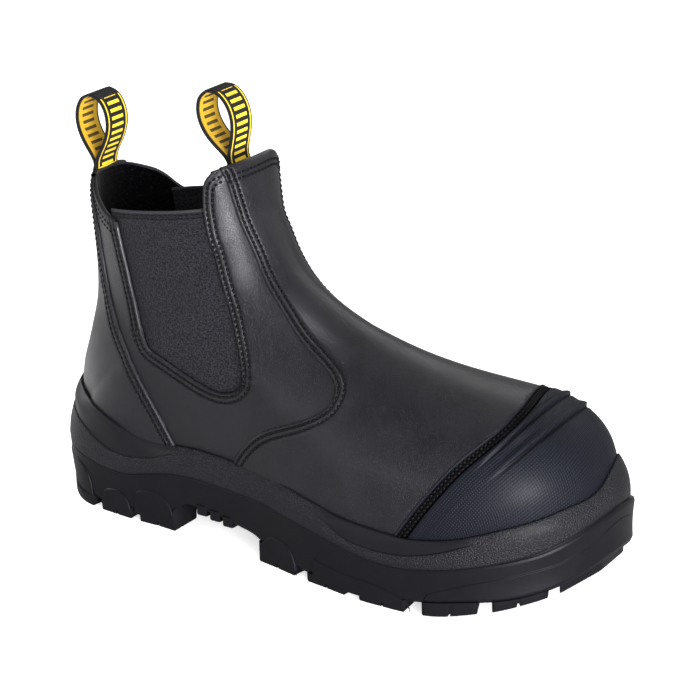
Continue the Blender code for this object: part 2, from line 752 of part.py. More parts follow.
def edge_point(side, x, inset):
    """Point on the sole's plan at a distance along the boot, moved in from the edge."""
    path = EDGES[side]
    k = int(np.argmin(np.abs(path[:, 0] - x)))
    k = min(max(k, 1), len(path) - 2)
    run = path[k + 1] - path[k - 1]
    run /= np.linalg.norm(run)
    out = np.array([run[1], -run[0]]) * (1.0 if side == "lateral" else -1.0)
    y = np.interp(x, path[:, 0], path[:, 1])
    return np.array([x, y]) - out * inset


def edge_lug(side, start, end):
    """Lug with an arched side face, let into the slab."""
    arch = np.linspace(0.0, math.pi, 5)
    middle = 0.5 * (start + end)
    reach = 0.5 * (end - start)
    xs = [start, end] + [middle + reach * math.cos(a) for a in arch]
    zs = [side_at("tread", start), side_at("tread", end)]
    root = side_at("underside", middle) + 2.0
    rise = min(LUG_ARCH, min(side_at("parting", start), side_at("parting", end)) - root - 1.5)
    zs += [root + rise * math.sin(a) for a in arch]
    outer = []
    inner = []
    for k, (x, z) in enumerate(zip(xs, zs)):
        in_out = TREAD_IN if k < 2 else 0.0
        narrow = middle + (x - middle) * (1.0 - 2.0 * LUG_TAPER / (end - start))
        outer.append((*edge_point(side, x, in_out), z))
        inner.append((*edge_point(side, narrow, LUG_DEPTH), z))
    count = len(xs)
    faces = [tuple(range(count)), tuple(reversed(range(count, 2 * count)))]
    faces += [(k, (k + 1) % count, count + (k + 1) % count, count + k) for k in range(count)]
    return np.array(outer + inner), faces


def together(solids):
    """Points and faces of separate solids as one list."""
    points = []
    faces = []
    for some_points, some_faces in solids:
        first = sum(len(p) for p in points)
        points.append(some_points)
        faces += [tuple(first + i for i in f) for f in some_faces]
    return np.concatenate(points), faces


def block(corners, low, high):
    """Upright block over a plan outline, with the bottom and top height of each corner."""
    count = len(corners)
    points = [(x, y, z) for z_list in (low, high) for (x, y), z in zip(corners, z_list)]
    faces = [tuple(reversed(range(count))), tuple(range(count, 2 * count))]
    faces += [(k, (k + 1) % count, count + (k + 1) % count, count + k) for k in range(count)]
    return np.array(points), faces


lugs = []
for start, end in LUGS:
    for side in SIDES:
        lugs.append(edge_lug(side, start * ALONG, end * ALONG))
for x, half in MIDDLE_LUGS:
    x *= ALONG
    reach = 0.5 * MIDDLE_LUG_LENGTH
    middle = 0.5 * (edge_point("lateral", x, 0)[1] + edge_point("medial", x, 0)[1])
    half = min(half, edge_point("medial", x, 0)[1] - middle - LUG_DEPTH - 4.0)
    corners = [(x - reach, middle - 0.5 * half), (x - 0.5 * reach, middle - half), (x + 0.5 * reach, middle - half),
               (x + reach, middle - 0.5 * half), (x + reach, middle + 0.5 * half),
               (x + 0.5 * reach, middle + half), (x - 0.5 * reach, middle + half), (x - reach, middle + 0.5 * half)]
    low = [side_at("tread", cx) for cx, cy in corners]
    lugs.append(block(corners, low, [side_at("underside", x) + 3.0] * len(corners)))

toe_start, toe_end = (x * ALONG for x in TOE_LUG)
toe_corners = [tuple(edge_point("lateral", toe_start, TREAD_IN)), tuple(edge_point("lateral", 0.5 * (toe_start + toe_end), TREAD_IN)),
               tuple(edge_point("medial", toe_end, TREAD_IN)), tuple(edge_point("medial", toe_start, TREAD_IN)),
               (toe_start - 6.0, 10.0)]
toe_low = [side_at("tread", x) for x, y in toe_corners]
lugs.append(block(toe_corners, toe_low, [side_at("underside", x) + 2.5 for x, y in toe_corners]))
for x in WAIST_RIBS:
    x *= ALONG
    width, drop = WAIST_RIB
    corners = [tuple(edge_point("lateral", x - width / 2, RIB_IN)), tuple(edge_point("lateral", x + width / 2, RIB_IN)),
               tuple(edge_point("medial", x + width / 2, RIB_IN)), tuple(edge_point("medial", x - width / 2, RIB_IN))]
    low = [side_at("underside", x) - drop] * 4
    lugs.append(block(corners, low, [side_at("underside", x) + 3.0] * len(corners)))
combine(outsole, body("lugs", *together(lugs)), "UNION")

# Insole on the floor of the cup, inside the upper's wall

edge_u = np.concatenate([np.arange(HEEL, 0.4, -0.5), [0.0]])
toe_v = np.linspace(0.0, 1.0, 21)[1:-1]
feather = np.concatenate([
    on_last(edge_u, 0.0),
    on_last(0.0, toe_v),
    on_last(edge_u[::-1][:-1], 1.0),
])
feather = np.concatenate([feather, feather[:1]])
feather = evenly(feather, 53)[:-1]
insole_in = WALL - UPPER_FACE + 2.0
foot_ring = feather.copy()
foot_ring[:, :2] -= outward(feather[:, :2]) * insole_in
insole = body("insole", *stack([
    foot_ring + (0, 0, GAP),
    foot_ring + (0, 0, GAP + INSOLE_THICK),
]), "foot_bed", 0.8)


# Pull loops of folded webbing

def loop(place):
    rows = np.asarray(LOOP, float)
    curve = through(rows)
    side = np.array([curve(k) for k in np.linspace(0, len(rows) - 1, 15)])
    out = np.maximum(side[:, 1] * LOOP_HALF, 0.0)
    out = np.maximum(out, np.where(side[:, 0] < 6.0, TAIL_SPREAD, 0.0))
    lean = place["lean"] * np.maximum(side[:, 0], 0.0)
    rear = np.stack([lean - out, side[:, 0]], axis=1)
    front = np.stack([lean + out, side[:, 0]], axis=1)[::-1][1:]
    tail = np.array([[0.0, -TAIL_LENGTH], [0.0, -TAIL_LENGTH / 2]])
    path = np.concatenate([tail - (TAIL_SPREAD, 0), rear, front, tail[::-1] + (TAIL_SPREAD, 0)])
    run = np.gradient(path, axis=0)
    across = np.stack([-run[:, 1], run[:, 0]], axis=1)
    across /= np.linalg.norm(across, axis=1, keepdims=True)
    grids = []
    for shift in (0.5 * WEBBING_THICK, -0.5 * WEBBING_THICK):
        flat = path + shift * across + (place["x"] * ALONG, raised(place["z"]))
        grid = np.empty((len(flat), 2, 3))
        for k, y in enumerate((-0.5 * WEBBING_WIDTH, 0.5 * WEBBING_WIDTH)):
            grid[:, k] = np.stack([flat[:, 0], np.full(len(flat), y), flat[:, 1]], axis=1)
        grids.append(grid)
    return thicken(grids[:1], grids[1:])


body("pull_loop_back", *loop(BACK_LOOP), "webbing", 0.8)
body("pull_loop_front", *loop(FRONT_LOOP), "webbing", 0.8)

# The origin stands under the middle of the sole's plan.
BOOT.location = tuple(-0.5 * MM * (PLAN_RING.min(axis=0) + PLAN_RING.max(axis=0))) + (0.0,)
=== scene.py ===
"""Looks of a black elastic-sided safety boot for the right foot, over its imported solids.

The toe points along +X, the outer side of the foot faces -Y, and the floor is at z = 0. Shapes are
worked out in millimetres from the back of the heel and turned into metres as each mesh is made.
"""
import math

import bpy
import numpy as np
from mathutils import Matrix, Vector, kdtree


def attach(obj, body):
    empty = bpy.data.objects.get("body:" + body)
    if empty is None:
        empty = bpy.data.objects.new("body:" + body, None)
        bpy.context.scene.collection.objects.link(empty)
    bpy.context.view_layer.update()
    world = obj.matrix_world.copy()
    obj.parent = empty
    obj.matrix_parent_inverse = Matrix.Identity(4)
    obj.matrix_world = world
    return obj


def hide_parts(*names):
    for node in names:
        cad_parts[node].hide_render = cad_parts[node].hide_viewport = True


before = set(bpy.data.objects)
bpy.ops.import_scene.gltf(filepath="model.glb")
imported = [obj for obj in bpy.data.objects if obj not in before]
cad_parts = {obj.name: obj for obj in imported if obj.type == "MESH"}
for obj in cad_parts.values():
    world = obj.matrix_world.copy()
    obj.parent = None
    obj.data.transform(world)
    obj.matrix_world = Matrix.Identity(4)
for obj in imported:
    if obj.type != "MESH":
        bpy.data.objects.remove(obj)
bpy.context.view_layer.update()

# Leather quarters
# The two sides of the upper, cut from black full-grain leather about 2 mm thick. Each has a notch for
# the elastic, with its edge skived, turned and double stitched, and runs on under vamp and counter.

SECTION_COLUMNS = (
    "edge_x", "edge_z", "edge_lateral", "edge_medial", "ridge_x", "ridge_z", "ridge_y",
    "half_lateral", "half_medial", "widest", "front_power", "back_power", "dip",
)
SECTIONS = {
    "toe_edge": (252, 30, 51.3, 52.2, 304.5, 43, 10, 51.3, 52.2, -0.50, 2.15, 2.2, 0),
    "toe_wall": (245, 29.7, 52.6, 52.8, 305.3, 60, 10, 52.6, 52.8, -0.25, 2.3, 2.2, 0),
    "toe_turn": (238, 29.5, 53.5, 53.2, 298.3, 80, 9, 53.5, 53.2, 0.00, 2.35, 2.2, 0),
    "toe_top": (230, 29.7, 54, 53.6, 281, 92.7, 7, 55.2, 54, 0.07, 2.4, 2.2, 0),
    "cap_edge": (222, 30, 54, 53.4, 261, 97, 6, 55.5, 53.8, 0.10, 2.35, 2.2, 0),
    "ball": (195, 30.5, 53, 47, 226, 100.5, 5, 54, 48, 0.12, 2.25, 2.2, 0),
    "waist": (160, 34, 47, 38, 188, 108.5, 3, 49, 42, 0.14, 2.2, 2.2, 0),
    "instep": (118, 37, 41, 34, 153.5, 123, 2, 43, 38, 0.20, 2.25, 2.1, 0),
    "throat": (76, 37, 38, 35, 133, 140.5, 1, 40, 37, 0.34, 2.35, 2.1, 0),
    "heel_side": (40, 36.5, 34, 33, 124.5, 155, 1, 39, 37, 0.45, 2.5, 2.05, 0),
    "heel_round": (19, 36.5, 21, 21, 120.5, 164, 0, 38, 36, 0.50, 2.6, 2.0, 0),
    "heel_back": (13, 37, 0, 0, 118.5, 170, 0, 37, 36, 0.53, 2.7, 2.0, 0),
    "heel_swell": (12, 62, 0, 0, 117, 178, 0, 36.5, 35.5, 0.55, 2.75, 2.0, 3),
    "ankle": (16.5, 112, 0, 0, 115.5, 185, 0, 36, 36, 0.57, 2.8, 2.1, 12),
    "collar": (17, 172.2, 0, 0, 113.7, 192.5, 0, 36, 36, 0.60, 2.9, 2.3, 23),
}
HEEL = list(SECTIONS).index("heel_back")
COLLAR = len(SECTIONS) - 1
DIP_LEAN = 0.70
# The inner side of the collar falls in front and humps behind, by shares of the way to the ridge
INNER_FALL = 6.0
INNER_FALL_SPAN = (0.30, 0.70)
INNER_HUMP = 4.7
INNER_HUMP_AT = 0.18
INNER_HUMP_WIDE = 0.10
INNER_SECTIONS = 2.0
RIDGE_FADE = 0.05
ROWS_PER_SECTION = 24
SIDE_POINTS = 141
# Rows past the collar's edge, and rows on each side of the heel's closing that are smoothed
SPARE_ROWS = 6
CLOSING_ROWS = 40
CLOSING_TURNS = 90
# Steps for measuring how the form runs
U_STEP = 0.02
V_STEP = 0.002

# Soft troughs that wear and lasting leave in the leather: ends in section coordinates, width, depth
CREASE_COLUMNS = ("from_u", "from_v", "to_u", "to_v", "width", "depth")
CREASES = (
    (6.20, 0.395, 7.70, 0.450, 17.0, 0.40),
    (6.20, 0.605, 7.70, 0.550, 17.0, 0.40),
    (7.75, 0.460, 7.70, 0.540, 9.0, 0.35),
    (5.30, 0.300, 6.20, 0.120, 16.0, 0.45),
    (7.70, 0.290, 7.05, 0.300, 10.0, 0.45),
    (12.9, 0.090, 12.3, 0.020, 11.0, 0.40),
    (12.3, 0.955, 12.9, 0.900, 11.0, 0.40),
    (7.60, 0.720, 7.00, 0.690, 10.0, 0.45),
)
CREASE_FADE = 1.5
CREASE_SHOULDER = 0.8
# The heel swells over the sole and draws in at the ankle: height, and how far out of the sections' form
HEEL_FORM = ((30, 4.6), (64, 4.6), (78, 2.9), (92, 0.8), (104, -1.2), (118, -2.0), (138, -1.2), (162, 0.0))
HEEL_FADE = (26.0, 84.0)
HEEL_MIDDLE = (62.0, 0.0, 0.0)
# Heights over the form
UPPER_FACE = -1.2
LINING_FACE = -3.5

# The notch for the elastic: height, then how far along its rear and front edges are
NOTCH = (
    (81.2, 108, 117), (84, 97, 123.5), (88, 86, 126.5), (92, 75.5, 126.3), (95.5, 68.5, 125.5),
    (104, 63.5, 122.6), (114, 60, 119.3), (123, 56.5, 116), (131, 54, 112.6), (140, 51.3, 109.2),
    (147, 49.5, 106.8), (154, 47.8, 104.2), (160, 46.5, 102.5), (168, 42, 101.3), (173, 34, 100.8),
    (182, 27, 101), (187, 27, 102.6), (191, 27, 106),
)
NOTCH_FIT = 0.05
QUARTER_FROM = 5.4
# Distances from a panel's edge of the close rows that round it off and carry its stitched channel
EDGE_ROWS = np.array([
    0.0, 0.10, 0.30, 0.60, 0.9, 1.2, 1.5, 1.8, 2.1, 2.4, 2.7, 3.0, 3.4, 3.8, 4.2, 4.5, 4.8, 5.1, 5.4, 5.7,
    6.0, 6.5, 7.2, 8.2,
])
FAR_FROM_EDGE = 20.0
STITCH_ROWS = (2.1, 5.1)
STITCH_SINK = 0.50
STITCH_DENT = 0.70
LEATHER = (0.0050, 0.0049, 0.0064, 1.0)
COOL = (0.94, 0.92, 1.0, 1.0)
HEEL_TO_ORIGIN = np.array([157.266, -1.383, 0.0])


def through(rows):
    """Smooth curve through the rows of a table, read at row numbers that may be fractions."""
    rows = np.asarray(rows, float)
    count = len(rows)
    system = 4.0 * np.eye(count)
    system[0, 0] = system[-1, -1] = 1.0
    bend = np.zeros_like(rows)
    for i in range(1, count - 1):
        system[i, i - 1] = system[i, i + 1] = 1.0
        bend[i] = 6.0 * (rows[i - 1] - 2.0 * rows[i] + rows[i + 1])
    bend = np.linalg.solve(system, bend)

    def read(at):
        at = np.atleast_1d(np.asarray(at, float))
        low = np.clip(np.floor(at).astype(int), 0, count - 2)
        t = (at - low)[:, None]
        s = 1.0 - t
        flat = s * rows[low] + t * rows[low + 1]
        return flat + ((s ** 3 - s) * bend[low] + (t ** 3 - t) * bend[low + 1]) / 6.0

    return read


def evenly(points, count):
    """The same path with its points spread evenly along it."""
    steps = np.linalg.norm(np.diff(points, axis=0), axis=1)
    run = np.concatenate([[0.0], np.cumsum(steps)])
    at = np.linspace(0.0, run[-1], count)
    return np.stack([np.interp(at, run, points[:, k]) for k in range(points.shape[1])], axis=1)


def ease(x, low, high):
    """0 below low, 1 above high, and a smooth rise between."""
    t = np.clip((np.asarray(x, float) - low) / (high - low), 0.0, 1.0)
    return t * t * (3.0 - 2.0 * t)


def between(first, last, t):
    """The value a share t of the way from first to last."""
    return first + (last - first) * t


def half_section(widest, half, edge, front_power, back_power, count=160):
    """One side of a section: distance along it (0 to 1) and half-width, from edge to ridge."""
    parts = []
    if widest > 1e-6:
        edge = min(max(edge, 0.0), 0.9999 * half)
        reach = (1.0 - (edge / half) ** back_power) ** (1.0 / back_power)
        turn = np.linspace(-math.asin(reach ** (back_power / 2.0)), 0.0, count)[:-1]
        along = widest - widest / reach * np.abs(np.sin(turn)) ** (2.0 / back_power)
        parts.append(np.stack([along, half * np.cos(turn) ** (2.0 / back_power)], axis=1))
    first = 0.0
    if widest < 0.0:
        first = math.asin((-widest / (1.0 - widest)) ** (front_power / 2.0))
        half = edge / math.cos(first) ** (2.0 / front_power)
    turn = np.linspace(first, math.pi / 2.0, count)
    along = widest + (1.0 - widest) * np.sin(turn) ** (2.0 / front_power)
    parts.append(np.stack([along, half * np.abs(np.cos(turn)) ** (2.0 / front_power)], axis=1))
    return np.concatenate(parts)


def last_net():
    """Points of the upper's outer form: rows from toe edge to collar, each from lateral to medial edge."""
    table = np.array(list(SECTIONS.values()), float)
    edge_z = table[:, SECTION_COLUMNS.index("edge_z")].copy()
    for name in ("edge_lateral", "edge_medial"):
        k = SECTION_COLUMNS.index(name)
        for i in range(1, len(table) - HEEL):
            table[HEEL + i, k] = -table[HEEL - i, k]
    read = through(table)
    net = []
    for u in np.linspace(0, COLLAR, COLLAR * ROWS_PER_SECTION + 1):
        at = dict(zip(SECTION_COLUMNS, read(u)[0]))
        if u < HEEL:
            at["edge_z"] = np.interp(u, np.arange(len(table)), edge_z)
        edge = np.array([at["edge_x"], at["edge_z"]])
        ridge = np.array([at["ridge_x"], at["ridge_z"]])
        sides = []
        for sign, half, foot in ((-1, "half_lateral", "edge_lateral"), (1, "half_medial", "edge_medial")):
            middle = sign * at["ridge_y"]
            foot_width = at[foot] - middle if u < HEEL else 0.0
            curve = half_section(at["widest"], at[half] - middle, foot_width,
                                 at["front_power"], at["back_power"])
            along = np.clip(curve[:, 0], 0.0, 1.0)
            plane = edge + along[:, None] * (ridge - edge)
            drop = at["dip"] * np.sin(math.pi * along ** DIP_LEAN) ** 2
            if sign > 0:
                fall = INNER_FALL * ease(along, *INNER_FALL_SPAN) * ease(1.0 - along, 0.0, RIDGE_FADE)
                hump = INNER_HUMP * np.exp(-((along - INNER_HUMP_AT) / INNER_HUMP_WIDE) ** 2)
                drop = drop + (fall - hump) * ease(u, COLLAR - INNER_SECTIONS, COLLAR)
            y = at["ridge_y"] + sign * curve[:, 1]
            sides.append(evenly(np.stack([plane[:, 0], y, plane[:, 1] - drop], axis=1), SIDE_POINTS))
        net.append(np.concatenate([sides[0], sides[1][::-1][1:]]))
    return np.array(net)


def net_normals(net):
    """The outward direction at every point of a net."""
    flow = np.cross(np.gradient(net, axis=1), np.gradient(net, axis=0))
    flow /= np.maximum(np.linalg.norm(flow, axis=2, keepdims=True), 1e-9)
    if flow[len(net) // 2, SIDE_POINTS - 1][2] < 0.0:
        flow = -flow
    closed = slice(HEEL * ROWS_PER_SECTION, None)
    seam = flow[closed, 0] + flow[closed, -1]
    flow[closed, 0] = flow[closed, -1] = seam / np.linalg.norm(seam, axis=1, keepdims=True)
    return flow


def read_net(net, u, v):
    """A net read at section coordinates: u counts the sections, v runs from lateral to medial edge."""
    u, v = np.broadcast_arrays(np.asarray(u, float), np.asarray(v, float))
    v = np.where((u >= HEEL) & (v >= 1.0), 0.0, v)
    row = np.clip(u * ROWS_PER_SECTION, 0.0, len(net) - 1.0)
    col = np.clip(v * (net.shape[1] - 1), 0.0, net.shape[1] - 1.0)
    r = np.minimum(row.astype(int), len(net) - 2)
    c = np.minimum(col.astype(int), net.shape[1] - 2)
    s = (row - r)[..., None]
    t = (col - c)[..., None]
    low = (1 - t) * net[r, c] + t * net[r, c + 1]
    high = (1 - t) * net[r + 1, c] + t * net[r + 1, c + 1]
    return (1 - s) * low + s * high


NET = last_net()
swell = through(HEEL_FORM)(np.linspace(0, len(HEEL_FORM) - 1, 80))
swell = np.interp(NET[..., 2], *swell.T) * (1.0 - ease(NET[..., 0], *HEEL_FADE))
away = (NET - HEEL_MIDDLE) * (1, 1, 0)
NET = NET + away / np.maximum(np.linalg.norm(away, axis=2, keepdims=True), 1.0) * swell[..., None]
near_closing = np.arange(-CLOSING_ROWS, CLOSING_ROWS + 1)
closing = HEEL * ROWS_PER_SECTION + near_closing
closed = slice(HEEL * ROWS_PER_SECTION, None)
soften = 0.5 * np.cos(0.5 * math.pi * near_closing / CLOSING_ROWS)[:, None, None] ** 2
for turn in range(CLOSING_TURNS):
    NET[closing] += soften * (0.5 * (NET[closing - 1] + NET[closing + 1]) - NET[closing])
    NET[closed, 0] = NET[closed, -1] = 0.5 * (NET[closed, 0] + NET[closed, -1])
for crease in CREASES:
    at = dict(zip(CREASE_COLUMNS, crease))
    t = np.linspace(0.0, 1.0, 40)
    line = read_net(NET, between(at["from_u"], at["to_u"], t), between(at["from_v"], at["to_v"], t))
    far = np.full(NET.shape[:2], np.inf)
    for k, p in enumerate(line):
        fade = 1.0 + CREASE_FADE * ease(abs(t[k] - 0.5), 0.25, 0.5)
        far = np.minimum(far, np.linalg.norm(NET - p, axis=2) * fade)
    near = (far / at["width"]) ** 2
    NET = NET - net_normals(NET) * (at["depth"] * (1.0 - CREASE_SHOULDER * near) * np.exp(-near))[..., None]
spare = np.arange(1, SPARE_ROWS + 1)[:, None, None]
NET = np.concatenate([NET, NET[-1] + spare * (NET[-1] - NET[-2])])
NET_NORMAL = net_normals(NET)


def facing(u, v):
    """The way the form faces at section coordinates."""
    normal = read_net(NET_NORMAL, u, v)
    return normal / np.linalg.norm(normal, axis=-1, keepdims=True)


def on_last(u, v, lift=0.0):
    """Points at section coordinates (u, v), lifted outward from the form by a distance."""
    return read_net(NET, u, v) + np.asarray(lift, float)[..., None] * facing(u, v)


def slopes(u, v):
    """How fast a point of the form moves with each section coordinate."""
    du = (read_net(NET, u + U_STEP, v) - read_net(NET, u - U_STEP, v)) / (2.0 * U_STEP)
    dv = (read_net(NET, u, v + V_STEP) - read_net(NET, u, v - V_STEP)) / (2.0 * V_STEP)
    return du, dv


def uv_at(x, z, side):
    """Section coordinates of the points seen at (x, z) from one side of the boot, and how far off they are."""
    half = NET[:, :SIDE_POINTS] if side == "lateral" else NET[:, SIDE_POINTS - 1:]
    first = 0 if side == "lateral" else SIDE_POINTS - 1
    target = np.stack([x, z], axis=1)
    flat = half[:, :, [0, 2]].reshape(-1, 2)
    pick = np.array([np.argmin(((flat - p) ** 2).sum(axis=1)) for p in target])
    u = (pick // half.shape[1]) / ROWS_PER_SECTION
    v = (pick % half.shape[1] + first) / (NET.shape[1] - 1)
    top = COLLAR + SPARE_ROWS / ROWS_PER_SECTION
    for turn in range(4):
        miss = target - read_net(NET, u, v)[:, [0, 2]]
        (ux, uz), (vx, vz) = (slope[:, [0, 2]].T for slope in slopes(u, v))
        det = ux * vz - uz * vx
        det = np.where(np.abs(det) < 1e-6, 1e-6, det)
        u = np.clip(u + (miss[:, 0] * vz - miss[:, 1] * vx) / det, 0.0, top)
        v = np.clip(v + (ux * miss[:, 1] - uz * miss[:, 0]) / det, 0.0, 1.0)
    return u, v, np.linalg.norm(target - read_net(NET, u, v)[:, [0, 2]], axis=1)


def turned_edge(distance, face, foot, radius=1.3):
    """Height of a panel near its edge, rounded down to the layer below and pulled in by the thread."""
    t = np.clip(distance / radius, 0.0, 1.0)
    height = foot + (face - foot) * np.sqrt(np.maximum(1.0 - (1.0 - t) ** 2, 0.0))
    for row in STITCH_ROWS:
        height = height - STITCH_SINK * np.exp(-((distance - row) / STITCH_DENT) ** 2)
    return height


def ruled(seam, far, steps):
    """Section coordinates between a seam and a far line, with close rows along the seam."""
    length = np.linalg.norm(on_last(*far.T) - on_last(*seam.T), axis=1)
    near = np.minimum(EDGE_ROWS[:, None] / length, np.linspace(0.0, 0.6, len(EDGE_ROWS))[:, None])
    rest = near[-1] + (1.0 - near[-1]) * np.linspace(0.0, 1.0, steps + 1)[1:, None]
    path = seam + (far - seam) * np.concatenate([near, rest])[..., None]
    return path[..., 0], path[..., 1]


def distance_from(path, points):
    """Distance of every point of a grid from a line drawn on the form."""
    line = evenly(on_last(*path.T), 4000)
    tree = kdtree.KDTree(len(line))
    for k, p in enumerate(line):
        tree.insert(p, k)
    tree.balance()
    return np.array([tree.find(p)[2] for p in points.reshape(-1, 3)]).reshape(points.shape[:-1])


def rim_patch(v, lift, face):
    """A panel's way over the collar's top and down inside, from its heights along the collar."""
    turn = np.linspace(0.0, math.pi, 9)[1:, None]
    top = np.full_like(v, COLLAR)
    up = read_net(NET, top, v) - read_net(NET, top - 0.1, v)
    up /= np.linalg.norm(up, axis=1, keepdims=True)
    radius = 0.5 * (face - LINING_FACE)
    roll = on_last(top + 0 * turn, v + 0 * turn, 0.5 * (face + LINING_FACE) + radius * np.cos(turn))
    points = np.concatenate([on_last(top, v, lift)[None], roll + up * (radius * np.sin(turn))[..., None]])
    return {"points": points, "facing": facing(top, v) * 0.2 + (0, 0, 1),
            "edge": np.full(points.shape[:2], FAR_FROM_EDGE)}


class Signal:
    """A socket among a node tree's nodes. Sums with signals add Math nodes."""

    def __init__(self, tree, socket=None):
        self.tree = tree
        self.socket = socket

    def node(self, kind, settings=(), sockets=(), output=0):
        made = self.tree.nodes.new(kind)
        for name, value in dict(settings).items():
            setattr(made, name, value)
        for name, value in dict(sockets).items():
            if isinstance(value, Signal):
                self.tree.links.new(value.socket, made.inputs[name])
            else:
                made.inputs[name].default_value = value
        return Signal(self.tree, made.outputs[output])

    def math(self, operation, *values):
        return self.node("ShaderNodeMath", {"operation": operation}, enumerate(values))

    def rise(self, low, high):
        return self.node("ShaderNodeMapRange", {"interpolation_type": "SMOOTHSTEP"},
                         {"Value": self, "From Min": low, "From Max": high})

    def blend(self, first, second):
        """Colour between two colours, by this signal."""
        return self.node("ShaderNodeMix", {"data_type": "RGBA"}, {0: self, 6: first, 7: second}, 2)

    def noise(self, scale, detail=3.0, rough=0.5):
        return self.node("ShaderNodeTexNoise", {}, {"Vector": self, "Scale": scale, "Detail": detail,
                                                    "Roughness": rough})

    def __add__(self, other):
        return self.math("ADD", self, other)

    def __sub__(self, other):
        return self.math("SUBTRACT", self, other)

    def __rsub__(self, other):
        return self.math("SUBTRACT", other, self)

    def __mul__(self, other):
        return self.math("MULTIPLY", self, other)

    def __abs__(self):
        return self.math("ABSOLUTE", self)

    def waves(self, pitch):
        """0 to 1 and back once in every pitch."""
        return self.math("SINE", self * (2.0 * math.pi / pitch)) * 0.5 + 0.5

    __radd__ = __add__
    __rmul__ = __mul__


class Finish:
    """A material with its shader and the signals that its pattern starts from."""

    def __init__(self, name, constants):
        self.material = bpy.data.materials.new(name)
        self.material.use_nodes = True
        self.tree = self.material.node_tree
        self.shader = self.tree.nodes["Principled BSDF"]
        for socket, value in constants.items():
            self.shader.inputs[socket].default_value = value
        self.place = Signal(self.tree).node("ShaderNodeTexCoord", output="Object")

    def reads(self, attribute):
        return Signal(self.tree).node("ShaderNodeAttribute", {"attribute_name": attribute}, output="Fac")

    def feed(self, **signals):
        for name, signal in signals.items():
            self.tree.links.new(signal.socket, self.shader.inputs[name.replace("_", " ")])

    def paint_shade_where(self, factor, shade):
        """Lays a painted shade, a dark matt colour that reflects no light, over the finish by a factor."""
        matt = self.tree.nodes.new("ShaderNodeBsdfPrincipled")
        for socket, value in (("Base Color", shade), ("Roughness", 1.0), ("Specular IOR Level", 0.0)):
            matt.inputs[socket].default_value = value
        mix = self.tree.nodes.new("ShaderNodeMixShader")
        self.tree.links.new(factor.socket, mix.inputs[0])
        self.tree.links.new(self.shader.outputs[0], mix.inputs[1])
        self.tree.links.new(matt.outputs[0], mix.inputs[2])
        self.tree.links.new(mix.outputs[0], self.tree.nodes["Material Output"].inputs["Surface"])

    def relief(self, *layers):
        """Normal from bump layers, each a height signal, its depth in millimetres and its strength."""
        normal = None
        for height, depth, strength in layers:
            sockets = {"Height": height, "Distance": depth * 0.001, "Strength": strength}
            if normal:
                sockets["Normal"] = normal
            normal = Signal(self.tree).node("ShaderNodeBump", {}, sockets)
        self.feed(Normal=normal)


def make_piece(name, patches, finish, nodes=()):
    """Smooth mesh from grids of points in millimetres, with its finish, riding on the boot.

    Each patch holds points, the way it faces, and any attributes by name.
    """
    points = np.concatenate([p["points"].reshape(-1, 3) for p in patches])
    first, place = np.unique(np.round(points, 2), axis=0, return_index=True, return_inverse=True)[1:]
    place = place.reshape(-1)
    faces = []
    start = 0
    for patch in patches:
        rows, cols = patch["points"].shape[:2]
        index = place[start:start + rows * cols].reshape(rows, cols)
        start += rows * cols
        cell = np.stack([index[:-1, :-1], index[:-1, 1:], index[1:, 1:], index[1:, :-1]], axis=-1)
        grid = patch["points"]
        flow = np.cross(grid[1:, 1:] - grid[:-1, :-1], grid[1:, :-1] - grid[:-1, 1:])
        way = np.broadcast_to(patch["facing"], grid.shape)[:-1, :-1]
        if (flow * way).sum() < 0.0:
            cell = cell[..., ::-1]
        for corners in cell.reshape(-1, 4).tolist():
            face = list(dict.fromkeys(corners))
            if len(face) > 2:
                faces.append(face)
    mesh = bpy.data.meshes.new(name)
    mesh.from_pydata(((points[first] - HEEL_TO_ORIGIN) * 0.001).tolist(), [], faces)
    for attribute in patches[0]:
        if attribute not in ("points", "facing"):
            values = np.concatenate([np.asarray(p[attribute], float).reshape(-1) for p in patches])[first]
            mesh.attributes.new(attribute, "FLOAT", "POINT").data.foreach_set("value", values)
    mesh.validate()
    mesh.shade_smooth()
    mesh.materials.append(finish.material)
    piece = bpy.data.objects.new(name, mesh)
    bpy.context.scene.collection.objects.link(piece)
    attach(piece, "root")
    if nodes:
        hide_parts(*nodes)


leather = Finish("black_leather", {"Coat Roughness": 0.28, "Specular IOR Level": 0.27, "Specular Tint": COOL})
cloud = leather.place.noise(38.0, 4.0, 0.55)
pores = leather.place.node("ShaderNodeTexVoronoi", {"feature": "DISTANCE_TO_EDGE"},
                           {"Vector": leather.place, "Scale": 1100.0})
wrinkle = leather.place.noise(420.0, 5.0, 0.62)
edge = leather.reads("edge")
channel = sum(1.0 - abs(edge - row).rise(0.25, 0.95) for row in STITCH_ROWS)
# Painted highlight: the leather is coloured lighter along each panel's turned edge, where the edge would catch
# light.
edge_highlight = 1.0 - edge.rise(0.2, 1.4)
worn = cloud.rise(0.35, 0.75)
leather.feed(
    Base_Color=(worn * 0.55 + edge_highlight * 0.8).blend(LEATHER, (0.012, 0.0117, 0.0145, 1.0)),
    Roughness=0.30 + worn * 0.08 + wrinkle * 0.06 - edge_highlight * 0.06,
    Coat_Weight=0.14 - worn * 0.07,
)
leather.relief((wrinkle, 0.26, 0.40), (pores.rise(0.0, 0.12), 0.09, 0.70))
# Painted shade: the stitch channels are covered with a dark matt colour for the shadow where the thread sinks
# in.
leather.paint_shade_where(channel * 0.40, (0.0015, 0.0015, 0.0019, 1.0))


def notch_edges(side):
    """The notch's rear and front edges on one side, each as section coordinates from its lowest point up."""
    rows = np.asarray(NOTCH, float)
    outline = np.concatenate([rows[::-1, [1, 0]], rows[:, [2, 0]]])
    outline = through(outline)(np.linspace(0, len(outline) - 1, 600))
    u, v, miss = uv_at(outline[:, 0], outline[:, 1], side)
    on_side = miss < NOTCH_FIT
    u, v = u[on_side], v[on_side]
    v = v if side == "lateral" else 1.0 - v
    tip = int(np.argmin(u))
    return u[:tip + 1][::-1], v[:tip + 1][::-1], u[tip:], v[tip:]


